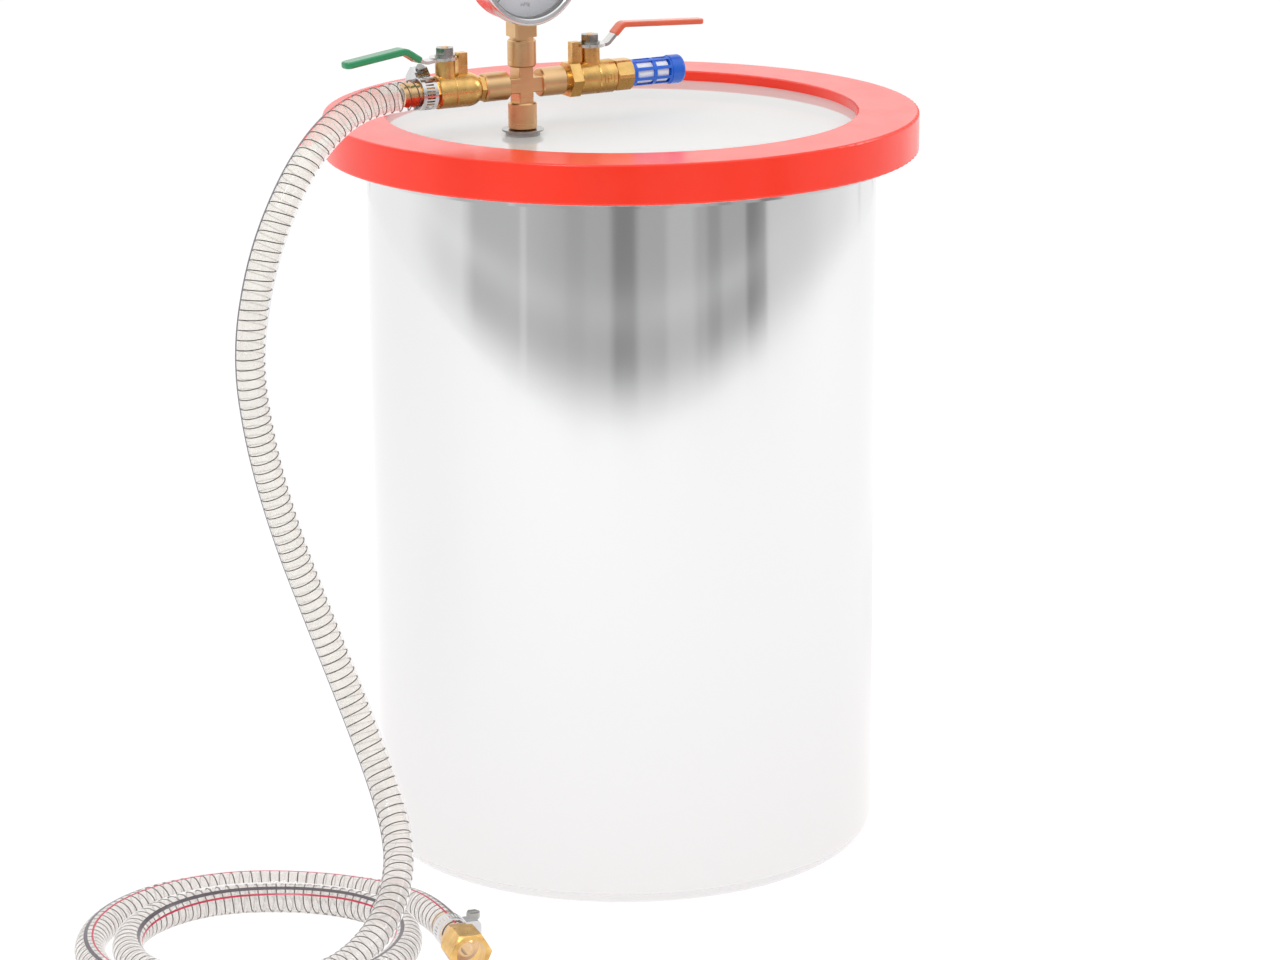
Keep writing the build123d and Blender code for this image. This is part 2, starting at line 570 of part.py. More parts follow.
with BuildPart() as hose_barb:
    turned(run_section(-1), [
        (VACUUM_SEAT_END, 0), (VACUUM_SEAT_END, BARB_NECK_RADIUS),
        (VACUUM_BARREL_END + 0.1, BARB_NECK_RADIUS),
        *barb_outline(HOSE_START - 0.2, BARB_TIP, BARB_RIDGES), (BARB_TIP, 0),
    ], RUN_AXIS)
    hex_bar(facing_out(-1, VACUUM_BARREL_END), BARB_FLATS, HOSE_START - VACUUM_BARREL_END - 0.1)
    disc(facing_out(-1, VACUUM_SEAT_END), FLOW_RADIUS + 0.4, 40, mode=Mode.SUBTRACT)
hose_barb.part.label = "hose_barb"
export_step(hose_barb.part, "parts/hose_barb.step")

BAND_INNER = HOSE_RADIUS + FIT
BAND_OUTER = BAND_INNER + 0.7
BAND_WIDTH = 9.4
BAND_SLOTS = 22
SADDLE_BASE = 7.5
SADDLE_TOP = 16.2
SADDLE_WIDTH = 12.4
SCREW_RADIUS = 2.6
SCREW_CENTRE = 12.9
SCREW_HEAD_END = 10.2
SCREW_LENGTH = 17.6
SCREW_HEAD_FLATS = 7.0
SCREW_HEAD_HEIGHT = 3.4


def build_clamp(name, centre, radial, hose_axis):
    """Worm-drive hose clamp: slotted band, screw housing on its radial side, and the screw."""
    frame = Plane(origin=centre, x_dir=radial, z_dir=hose_axis)
    with BuildPart() as band:
        with Locations(frame):
            Cylinder(BAND_OUTER, BAND_WIDTH)
            Cylinder(BAND_INNER, BAND_WIDTH, mode=Mode.SUBTRACT)
            with PolarLocations(BAND_OUTER, BAND_SLOTS, start_angle=50, angular_range=260):
                Box(3, 1.0, 5.0, mode=Mode.SUBTRACT)
    band.part.label = f"{name}_band"
    export_step(band.part, f"parts/{name}_band.step")

    with BuildPart() as housing:
        with Locations(frame):
            with Locations(((SADDLE_BASE + SADDLE_TOP) / 2, 0, 0)):
                Box(SADDLE_TOP - SADDLE_BASE, SADDLE_WIDTH, BAND_WIDTH - 0.4)
        along = housing.edges().filter_by(Axis(centre, hose_axis))
        fillet(along.sort_by(Axis(centre, radial))[-2:], 3.0)
        with Locations(frame):
            Cylinder(BAND_OUTER + 0.02, 20, mode=Mode.SUBTRACT)
            with Locations((SCREW_CENTRE, 0, 0)):
                Cylinder(SCREW_RADIUS + FIT, 20, rotation=(90, 0, 0), mode=Mode.SUBTRACT)
    housing.part.label = f"{name}_housing"
    export_step(housing.part, f"parts/{name}_housing.step")

    screw_plane = Plane(origin=frame.from_local_coords((SCREW_CENTRE, SCREW_HEAD_END, 0)), x_dir=radial,
                        z_dir=-frame.y_dir)
    with BuildPart() as screw:
        disc(screw_plane, SCREW_RADIUS, SCREW_LENGTH)
        hex_bar(screw_plane, SCREW_HEAD_FLATS, SCREW_HEAD_HEIGHT)
        with Locations(screw_plane):
            Box(8, 1.0, 1.8, mode=Mode.SUBTRACT)
    screw.part.label = f"{name}_screw"
    export_step(screw.part, f"parts/{name}_screw.step")


CLAMP_ANGLE = 45.0
build_clamp(
    "hose_clamp",
    (MANIFOLD_X - HOSE_START - 0.4 - BAND_WIDTH / 2, MANIFOLD_Y, RUN_Z),
    (0, math.sin(math.radians(CLAMP_ANGLE)), math.cos(math.radians(CLAMP_ANGLE))),
    (-1, 0, 0),
)

# --- Hose ----------------------------------------------------------------------------------


def corner_radii(points):
    """The largest arc at each corner of a route that leaves a tenth of the shorter run straight."""
    radii = []
    for before, corner, after in zip(points, points[1:], points[2:]):
        arriving = Vector(*corner) - Vector(*before)
        leaving = Vector(*after) - Vector(*corner)
        half_turn = math.radians(arriving.get_angle(leaving) / 2)
        radii.append(0.45 * min(arriving.length, leaving.length) / math.tan(half_turn))
    return radii


def build_hose(points, radii):
    """Hollow tube along straight runs joined by tangent arcs."""
    with BuildPart() as tube:
        with BuildLine() as path:
            FilletPolyline(*points, radius=radii)
        with BuildSketch(Plane(origin=path.wire() @ 0, z_dir=path.wire() % 0)) as wall:
            Circle(HOSE_RADIUS)
            Circle(HOSE_BORE, mode=Mode.SUBTRACT)
        sweep()
    expected = wall.sketch.area * path.wire().length
    print(f"tube {path.wire().length:.0f} mm long, volume {tube.part.volume:.0f} of {expected:.0f}")
    return tube


hanging_radii = corner_radii(HANGING)
tail_radii = corner_radii(TAIL)
print("hanging radii", [round(r) for r in hanging_radii])
print("tail radii", [round(r) for r in tail_radii])
split_point = (Vector(*HANGING[LIFTED_POINTS - 1]) + Vector(*HANGING[LIFTED_POINTS])) / 2

hose_run = build_hose(HANGING[:LIFTED_POINTS] + [tuple(split_point)], hanging_radii[:LIFTED_POINTS - 1])
hose_run.part.label = "hose_run"
export_step(hose_run.part, "parts/hose_run.step")

hose_landing = build_hose([tuple(split_point)] + HANGING[LIFTED_POINTS:],
                          hanging_radii[LIFTED_POINTS - 1:])
hose_landing.part.label = "hose_landing"
export_step(hose_landing.part, "parts/hose_landing.step")

hose_tail = build_hose(TAIL, tail_radii)
hose_tail.part.label = "hose_tail"
export_step(hose_tail.part, "parts/hose_tail.step")

with BuildPart() as hose_coil:
    with BuildSketch(Plane(origin=(COIL_X, COIL_Y, HOSE_RADIUS), x_dir=(1, 0, 0), z_dir=(0, -1, 0))):
        with Locations(((COIL_INNER + COIL_OUTER) / 2, 0)):
            SlotCenterToCenter(COIL_OUTER - COIL_INNER, 2 * HOSE_RADIUS)
    revolve(axis=Axis((COIL_X, COIL_Y, 0), (0, 0, 1)))
hose_coil.part.label = "hose_coil"
export_step(hose_coil.part, "parts/hose_coil.step")

# --- Pump end of the hose ------------------------------------------------------------------

hose_end = Vector(*TAIL[-1])
pump_way = (hose_end - Vector(*TAIL[-2])).normalized()
pump_side = Vector(0, 0, 1).cross(pump_way)
pump_axis = Axis(hose_end, pump_way)
COLLAR_T = 12.0
NOSE_T = 15.0
NUT_START = 8.5
NUT_END = 27.0
NUT_SHOULDER = 11.7
THREAD_START = 19.2
PUMP_THREAD_RADIUS = 8.3
COLLAR_RECESS = 8.8
PUMP_BARB_LENGTH = 25.5
PUMP_NECK_RADIUS = 6.0
PUMP_COLLAR_RADIUS = 8.2
PUMP_NOSE_RADIUS = 4.6
PUMP_BARB_FLATS = 17.0
PUMP_NUT_FLATS = 22.0
PUMP_NUT_RADIUS = 12.5
CLAMP_FROM_END = 9.7


def pump_plane(t):
    """Plane across the pump fitting, t beyond the hose's end."""
    return Plane(origin=hose_end + pump_way * t, x_dir=pump_side, z_dir=pump_way)


pump_section = Plane(origin=hose_end, x_dir=pump_way, z_dir=pump_way.cross(Vector(0, 0, 1)))

with BuildPart() as pump_barb:
    barbs = barb_outline(-0.1, PUMP_BARB_LENGTH, BARB_RIDGES)
    turned(pump_section, [
        (-PUMP_BARB_LENGTH, 0), *[(-t, r) for t, r in reversed(barbs)], (0.1, PUMP_NECK_RADIUS),
        (COLLAR_T, PUMP_NECK_RADIUS), (COLLAR_T, PUMP_COLLAR_RADIUS), (NOSE_T, PUMP_COLLAR_RADIUS),
        (NOSE_T + 3.6, PUMP_NOSE_RADIUS), (NOSE_T + 3.6, 0),
    ], pump_axis)
    hex_bar(pump_plane(0.1), PUMP_BARB_FLATS, 6.0)
    disc(pump_plane(-30), FLOW_RADIUS + 0.4, 60, mode=Mode.SUBTRACT)
pump_barb.part.label = "pump_barb"
export_step(pump_barb.part, "parts/pump_barb.step")

with BuildPart() as pump_swivel_nut:
    hex_bar(pump_plane(NUT_START), PUMP_NUT_FLATS, NUT_END - NUT_START)
    turned(pump_section, [
        (NUT_START, 0), (NUT_START, PUMP_NUT_RADIUS - 1.9), (NUT_START + 1.4, PUMP_NUT_RADIUS),
        (NUT_END - 1.4, PUMP_NUT_RADIUS), (NUT_END, PUMP_NUT_RADIUS - 1.7), (NUT_END, 0),
    ], pump_axis, mode=Mode.INTERSECT)
    disc(pump_plane(0), PUMP_NECK_RADIUS + 0.08, 40, mode=Mode.SUBTRACT)
    disc(pump_plane(NUT_SHOULDER), COLLAR_RECESS, THREAD_START - NUT_SHOULDER, mode=Mode.SUBTRACT)
    disc(pump_plane(NUT_SHOULDER), PUMP_THREAD_RADIUS, 40, mode=Mode.SUBTRACT)
pump_swivel_nut.part.label = "pump_swivel_nut"
export_step(pump_swivel_nut.part, "parts/pump_swivel_nut.step")

build_clamp("pump_clamp", tuple(hose_end - pump_way * CLAMP_FROM_END), tuple(pump_side), tuple(pump_way))

# --- Pressure gauge ------------------------------------------------------------------------

GAUGE = Plane(origin=(MANIFOLD_X, MANIFOLD_Y, GAUGE_Z), x_dir=(1, 0, 0), z_dir=(0, -1, 0))
GAUGE_AXIS = Axis((MANIFOLD_X, MANIFOLD_Y, GAUGE_Z), (0, -1, 0))
GAUGE_SECTION = Plane(origin=(MANIFOLD_X, MANIFOLD_Y, GAUGE_Z), x_dir=(0, 0, 1), z_dir=(1, 0, 0))
CASE_BACK = -11.0
CASE_FRONT = 12.0
CASE_WALL = 0.8
SQUARE_WIDTH = 14.0
BLOCK_WIDTH = 10.0
BLOCK_DEPTH = 7.8
TONGUE_WIDTH = 9.0
SOCKET_BASE = RUN_Z + ARM_LENGTH
SQUARE_BASE = SOCKET_BASE + 1.6
CASE_FLOOR = GAUGE_Z - CASE_RADIUS
BLOCK_TOP = GAUGE_Z - 19.2
TONGUE_TOP = GAUGE_Z - 15.6
PLATE_INNER = 3.2
PLATE_OUTER = 4.0
BEZEL_BACK = 7.6
BEZEL_STEP = 13.0
BEZEL_FRONT = 14.6
BEZEL_OPENING = 27.4
LENS_BACK = 11.0
LENS_THICKNESS = 2.0
DIAL_RADIUS = 28.6
DIAL_THICKNESS = 0.8

with BuildPart() as gauge_case:
    disc(GAUGE.offset(CASE_BACK), CASE_RADIUS, CASE_FRONT - CASE_BACK)
    fillet(gauge_case.faces().sort_by(Axis.Y)[-1].edges(), 2.5)
    disc(GAUGE.offset(CASE_BACK + CASE_WALL), CASE_RADIUS - CASE_WALL, 40, mode=Mode.SUBTRACT)
    with Locations((MANIFOLD_X, MANIFOLD_Y, CASE_FLOOR)):
        Box(BLOCK_WIDTH + 0.2, BLOCK_DEPTH + 0.2, 8, mode=Mode.SUBTRACT)
gauge_case.part.label = "gauge_case"
export_step(gauge_case.part, "parts/gauge_case.step")

with BuildPart() as gauge_bezel:
    with BuildSketch(GAUGE_SECTION):
        with BuildLine():
            Polyline(
                (BEZEL_RADIUS - 1.8, BEZEL_FRONT), (BEZEL_OPENING + 0.6, BEZEL_FRONT - 0.4),
                (BEZEL_OPENING, BEZEL_STEP + 0.6), (BEZEL_OPENING, BEZEL_STEP),
                (CASE_RADIUS + FIT, BEZEL_STEP), (CASE_RADIUS + FIT, BEZEL_BACK),
                (BEZEL_RADIUS, BEZEL_BACK), (BEZEL_RADIUS, BEZEL_FRONT - 2.0),
            )
            ThreePointArc((BEZEL_RADIUS, BEZEL_FRONT - 2.0), (BEZEL_RADIUS - 0.5, BEZEL_FRONT - 0.6),
                          (BEZEL_RADIUS - 1.8, BEZEL_FRONT))
        make_face()
    revolve(axis=GAUGE_AXIS)
gauge_bezel.part.label = "gauge_bezel"
export_step(gauge_bezel.part, "parts/gauge_bezel.step")

with BuildPart() as gauge_lens:
    disc(GAUGE.offset(LENS_BACK), CASE_RADIUS - CASE_WALL - 0.2, LENS_THICKNESS)
gauge_lens.part.label = "gauge_lens"
export_step(gauge_lens.part, "parts/gauge_lens.step")

DIAL_SCREWS = [(-5.6, -6.0), (5.6, -6.0)]
DIAL_SCREW_HOLE = 0.75

with BuildPart() as gauge_dial:
    disc(GAUGE.offset(PLATE_OUTER), DIAL_RADIUS, DIAL_THICKNESS)
    disc(GAUGE.offset(PLATE_OUTER), 1.6, 2, mode=Mode.SUBTRACT)
    with Locations(GAUGE.offset(PLATE_OUTER)):
        with Locations(*DIAL_SCREWS):
            Cylinder(DIAL_SCREW_HOLE, 4, mode=Mode.SUBTRACT)
gauge_dial.part.label = "gauge_dial"
export_step(gauge_dial.part, "parts/gauge_dial.step")

with BuildPart() as dial_screws:
    with Locations(GAUGE.offset(PLATE_INNER)):
        with Locations(*DIAL_SCREWS):
            Cylinder(0.7, 1.6, align=BOTTOM)
    with Locations(GAUGE.offset(PLATE_OUTER + DIAL_THICKNESS)):
        with Locations(*DIAL_SCREWS):
            Cylinder(1.4, 0.7, align=BOTTOM)
            with Locations((0, 0, 0.7)):
                Box(3, 0.4, 0.5, mode=Mode.SUBTRACT)
dial_screws.part.label = "dial_screws"
export_step(dial_screws.part, "parts/dial_screws.step")

with BuildPart() as gauge_socket:
    disc(level(SOCKET_BASE - SOCKET_DEPTH + 0.5), THREAD_RADIUS, SOCKET_DEPTH - 0.5)
    disc(level(SOCKET_BASE), THREAD_RADIUS + 0.3, SQUARE_BASE - SOCKET_BASE)
    with Locations(level(SQUARE_BASE)):
        Box(SQUARE_WIDTH, SQUARE_WIDTH, CASE_FLOOR - SQUARE_BASE - 0.2, align=BOTTOM)
    chamfer(gauge_socket.edges().filter_by(Axis.Z).filter_by(lambda e: e.length < 9), 1.2)
    with Locations(level(CASE_FLOOR - 0.2)):
        Box(BLOCK_WIDTH, BLOCK_DEPTH, BLOCK_TOP - CASE_FLOOR + 0.2, align=BOTTOM)
    with Locations(level(BLOCK_TOP)):
        Box(TONGUE_WIDTH, 2 * PLATE_INNER, TONGUE_TOP - BLOCK_TOP, align=BOTTOM)
    disc(level(SOCKET_BASE - SOCKET_DEPTH), 2.0, 28, mode=Mode.SUBTRACT)
gauge_socket.part.label = "gauge_socket"
export_step(gauge_socket.part, "parts/gauge_socket.step")

TUBE_FROM = 283.6
TUBE_TO = 555.0

with BuildPart() as bourdon_tube:
    with BuildLine(GAUGE) as tube_line:
        CenterArc((0, 0), TUBE_BEND_RADIUS, TUBE_FROM, TUBE_TO - TUBE_FROM)
    tube_start = Plane(origin=tube_line.wire() @ 0, x_dir=GAUGE.z_dir, z_dir=tube_line.wire() % 0)
    with BuildSketch(tube_start):
        RectangleRounded(7.4, 2.6, 1.1)
        RectangleRounded(6.6, 1.8, 0.7, mode=Mode.SUBTRACT)
    sweep()
bourdon_tube.part.label = "bourdon_tube"
export_step(bourdon_tube.part, "parts/bourdon_tube.step")

with BuildPart() as tube_tip:
    tip_angle = TUBE_TO - 360
    with Locations(GAUGE):
        with PolarLocations(TUBE_BEND_RADIUS, 1, start_angle=tip_angle):
            with Locations((0, 1.6, -0.6)):
                Box(2.6, 3.2, 7.4)
            with Locations((-1.9, 2.1, -1.6)):
                Box(4.6, 2.2, 3.6)
tube_tip.part.label = "tube_tip"
export_step(tube_tip.part, "parts/tube_tip.step")

PIN_HOLE = 0.8
with BuildPart() as movement_frame:
    for start in (-PLATE_OUTER, PLATE_INNER):
        with BuildSketch(GAUGE.offset(start)) as plate_outline:
            with Locations((0, -7.5)):
                RectangleRounded(16, 23, 3)
            Circle(PIN_HOLE, mode=Mode.SUBTRACT)
            with Locations((0, -PIVOT_DROP)):
                Circle(PIN_HOLE + FIT, mode=Mode.SUBTRACT)
            with Locations(*DIAL_SCREWS):
                Circle(DIAL_SCREW_HOLE, mode=Mode.SUBTRACT)
        extrude(plate_outline.sketch, amount=PLATE_OUTER - PLATE_INNER)
    with Locations(GAUGE):
        with Locations((-6.2, 2.1), (6.2, 2.1)):
            Cylinder(1.1, 2 * PLATE_INNER)
movement_frame.part.label = "movement_frame"
export_step(movement_frame.part, "parts/movement_frame.step")


def tooth_outline(teeth, addendum, dedendum):
    """Involute tooth centred on +X, a little thin for backlash."""
    pitch_radius = GEAR_MODULE * teeth / 2
    pressure = math.radians(PRESSURE_ANGLE)
    base_radius = pitch_radius * math.cos(pressure)
    root_radius = pitch_radius - dedendum
    half_pitch = 0.82 * math.pi / (2 * teeth) + math.tan(pressure) - pressure
    flank = [(root_radius - 0.1, None)]
    start = max(base_radius, root_radius)
    for step in range(5):
        radius = start + (pitch_radius + addendum - start) * step / 4
        slope = math.acos(min(1.0, base_radius / radius))
        flank.append((radius, half_pitch - math.tan(slope) + slope))
    flank[0] = (root_radius - 0.1, flank[1][1])
    upper = [(r * math.cos(a), r * math.sin(a)) for r, a in flank]
    lower = [(x, -y) for x, y in reversed(upper)]
    return upper + lower


ADDENDUM = 0.9 * GEAR_MODULE
DEDENDUM = 1.25 * GEAR_MODULE
SECTOR_PITCH = 360 / SECTOR_TEETH
FIRST_TOOTH = 90 - 2 * SECTOR_PITCH
TOOTH_COUNT = 14
TAIL_ANGLE = 200.0
TAIL_REACH = 6.0
tail_pin = (TAIL_REACH * math.cos(math.radians(TAIL_ANGLE)),
            TAIL_REACH * math.sin(math.radians(TAIL_ANGLE)) - PIVOT_DROP)
PIVOT = Plane(origin=(MANIFOLD_X, MANIFOLD_Y, GAUGE_Z - PIVOT_DROP), x_dir=(1, 0, 0), z_dir=(0, -1, 0))
SECTOR_ROOT = GEAR_MODULE * SECTOR_TEETH / 2 - DEDENDUM
last_tooth = FIRST_TOOTH + SECTOR_PITCH * (TOOTH_COUNT - 1)

with BuildSketch() as sector_tooth:
    with BuildLine():
        Polyline(*tooth_outline(SECTOR_TEETH, ADDENDUM, DEDENDUM), close=True)
    make_face()

with BuildPart() as gauge_sector:
    with BuildSketch(PIVOT.offset(-0.5)) as sector_outline:
        with BuildLine():
            start_angle = FIRST_TOOTH - SECTOR_PITCH
            sweep_angle = last_tooth + SECTOR_PITCH - start_angle
            outer = CenterArc((0, 0), SECTOR_ROOT, start_angle, sweep_angle)
            inner = CenterArc((0, 0), SECTOR_ROOT - 1.6, start_angle, sweep_angle)
            Line(outer @ 0, inner @ 0)
            Line(outer @ 1, inner @ 1)
        make_face()
        with PolarLocations(0, TOOTH_COUNT, start_angle=FIRST_TOOTH,
                            angular_range=SECTOR_PITCH * (TOOTH_COUNT - 1), endpoint=True):
            add(sector_tooth.sketch)
        Circle(1.9)
        for spoke_angle in (FIRST_TOOTH + 4, last_tooth - 4):
            with PolarLocations(SECTOR_ROOT / 2, 1, start_angle=spoke_angle):
                Rectangle(SECTOR_ROOT - 1.0, 1.5)
        with PolarLocations(TAIL_REACH / 2, 1, start_angle=TAIL_ANGLE):
            SlotCenterToCenter(TAIL_REACH, 2.0)
    extrude(amount=1.0)
    with Locations(PIVOT):
        Cylinder(PIN_HOLE, 2 * PLATE_OUTER)
        Cylinder(1.3, 2 * PLATE_INNER - 0.6)
    with Locations(GAUGE):
        with Locations((*tail_pin, 0.5)):
            Cylinder(0.5, 1.3, align=BOTTOM)
gauge_sector.part.label = "gauge_sector"
export_step(gauge_sector.part, "parts/gauge_sector.step")

link_end = (-16.4, -8.2)
with BuildPart() as gauge_link:
    with BuildSketch(GAUGE.offset(0.7)):
        for joint in (tail_pin, link_end):
            with Locations(joint):
                Circle(1.2)
        with BuildLine():
            Line(tail_pin, link_end)
        trace(line_width=1.2)
        for joint in (tail_pin, link_end):
            with Locations(joint):
                Circle(0.55, mode=Mode.SUBTRACT)
    extrude(amount=0.8)
gauge_link.part.label = "gauge_link"
export_step(gauge_link.part, "parts/gauge_link.step")

ARBOR_END = 7.8
POINTER_ANGLE = -45.0
POINTER_REACH = 22.0
POINTER_TAIL = 9.0
HUB_EDGE = 3.0

with BuildSketch() as pinion_tooth:
    with BuildLine():
        Polyline(*tooth_outline(PINION_TEETH, ADDENDUM, DEDENDUM), close=True)
    make_face()

with BuildPart() as pinion_arbor:
    with Locations(GAUGE):
        with Locations((0, 0, -PLATE_OUTER)):
            Cylinder(PIN_HOLE - FIT, ARBOR_END + PLATE_OUTER, align=BOTTOM)
    with BuildSketch(GAUGE.offset(-1.2)):
        Circle(GEAR_MODULE * PINION_TEETH / 2 - DEDENDUM)
        with PolarLocations(0, PINION_TEETH, start_angle=180 / PINION_TEETH - 90):
            add(pinion_tooth.sketch)
    extrude(amount=2.4)
pinion_arbor.part.label = "pinion_arbor"
export_step(pinion_arbor.part, "parts/pinion_arbor.step")

with BuildSketch() as needle:
    with BuildLine():
        Polyline(
            (POINTER_REACH, 0.2), (HUB_EDGE, 0.9), (-HUB_EDGE, 0.9), (-POINTER_TAIL, 1.5),
            (-POINTER_TAIL, -1.5), (-HUB_EDGE, -0.9), (HUB_EDGE, -0.9), (POINTER_REACH, -0.2), close=True,
        )
    make_face()

with BuildPart() as gauge_pointer:
    with BuildSketch(GAUGE.offset(ARBOR_END - 0.8)):
        Circle(2.8)
        with PolarLocations(0, 1, start_angle=POINTER_ANGLE):
            add(needle.sketch)
        Circle(PIN_HOLE, mode=Mode.SUBTRACT)
    extrude(amount=0.6)
gauge_pointer.part.label = "gauge_pointer"
export_step(gauge_pointer.part, "parts/gauge_pointer.step")
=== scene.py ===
import math

import bmesh
import bpy
from mathutils import Matrix, Vector


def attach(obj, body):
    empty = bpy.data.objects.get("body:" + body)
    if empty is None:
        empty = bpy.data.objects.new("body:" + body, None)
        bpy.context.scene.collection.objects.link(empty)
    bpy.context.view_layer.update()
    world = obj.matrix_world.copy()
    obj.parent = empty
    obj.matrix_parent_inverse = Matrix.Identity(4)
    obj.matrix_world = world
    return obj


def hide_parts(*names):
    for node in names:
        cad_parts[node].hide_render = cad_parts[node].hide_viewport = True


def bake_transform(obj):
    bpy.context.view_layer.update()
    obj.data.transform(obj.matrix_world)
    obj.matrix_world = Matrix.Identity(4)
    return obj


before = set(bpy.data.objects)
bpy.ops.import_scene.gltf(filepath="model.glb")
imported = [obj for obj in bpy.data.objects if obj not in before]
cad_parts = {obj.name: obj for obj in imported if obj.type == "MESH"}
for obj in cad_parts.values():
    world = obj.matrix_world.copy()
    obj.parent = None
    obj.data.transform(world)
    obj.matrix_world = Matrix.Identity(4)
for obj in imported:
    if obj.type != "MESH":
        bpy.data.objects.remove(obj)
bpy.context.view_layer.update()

# Lengths are in metres, in the model's own frame, and angles are in degrees.


def step(value, low, high):
    """0 below low, 1 above high, and smooth between them."""
    share = min(max((value - low) / (high - low), 0), 1)
    return share * share * (3 - 2 * share)


# --- Camera, fitted to the photo -----------------------------------------------------------

CAMERA_PLACE = (-1.1363, -2.0538, 0.8586)
CAMERA_YAW = 29.197
CAMERA_PITCH = 15.289
CAMERA_ROLL = -0.324
CAMERA_LENS = 113.69
CAMERA_SENSOR = 36
CAMERA_REACH = 50


def make_camera():
    """Camera that looks level along +Y, then is turned by its yaw, pitch and roll."""
    yaw = math.radians(CAMERA_YAW)
    pitch = math.radians(CAMERA_PITCH)
    roll = math.radians(CAMERA_ROLL)
    ahead = Vector((
        math.sin(yaw) * math.cos(pitch),
        math.cos(yaw) * math.cos(pitch),
        -math.sin(pitch),
    ))
    level_right = Vector((math.cos(yaw), -math.sin(yaw), 0))
    level_up = level_right.cross(ahead)
    right = math.cos(roll) * level_right + math.sin(roll) * level_up
    up = math.cos(roll) * level_up - math.sin(roll) * level_right
    data = bpy.data.cameras.new("camera")
    data.sensor_width = CAMERA_SENSOR
    data.lens = CAMERA_LENS
    data.clip_end = CAMERA_REACH
    camera = bpy.data.objects.new("camera", data)
    turn = Matrix((right, up, -ahead)).transposed().to_4x4()
    camera.matrix_world = Matrix.Translation(CAMERA_PLACE) @ turn
    bpy.context.scene.collection.objects.link(camera)
    bpy.context.scene.camera = camera


# --- Shader nodes --------------------------------------------------------------------------


def add_node(tree, kind, **values):
    made = tree.nodes.new(kind)
    for key, value in values.items():
        setattr(made, key, value)
    return made


def map_range(tree, value, start, end, first=0.0, last=1.0, curve="LINEAR"):
    """Output that goes from first to last as a value goes from start to end."""
    made = add_node(tree, "ShaderNodeMapRange", interpolation_type=curve)
    sockets = {"From Min": start, "From Max": end, "To Min": first, "To Max": last}
    for socket, number in sockets.items():
        made.inputs[socket].default_value = number
    tree.links.new(value, made.inputs["Value"])
    return made.outputs["Result"]


def blend_color(tree, share, base, color):
    """Output that goes from a base output to a fixed colour."""
    made = add_node(tree, "ShaderNodeMix", data_type="RGBA")
    made.inputs["B"].default_value = (*color, 1)
    tree.links.new(share, made.inputs["Factor"])
    tree.links.new(base, made.inputs["A"])
    return made.outputs["Result"]


def color_ramp(tree, value, stops):
    """Output with colours at places along a value."""
    made = add_node(tree, "ShaderNodeValToRGB")
    elements = made.color_ramp.elements
    while len(elements) < len(stops):
        elements.new(0.5)
    for element, (place, color) in zip(elements, stops):
        element.position = place
        element.color = (*color, 1)
    tree.links.new(value, made.inputs["Fac"])
    return made.outputs["Color"]


# --- Materials -----------------------------------------------------------------------------

# The part of a noise texture's range that its values fill
NOISE_LOW = 0.3
NOISE_HIGH = 0.7
# Z of the surface normal where the painted shade on downward faces starts, and where it is full
FACING_SIDE = 0.15
FACING_DOWN = -0.75
# Heights where the painted shade near the floor starts, and where it is full
ABOVE_FLOOR = 0.12
ON_FLOOR = 0.02
# Middle of the pot's wall, and half the width of the change across it
POT_INSIDE = 0.1493
WALL_BLEND = 0.0002


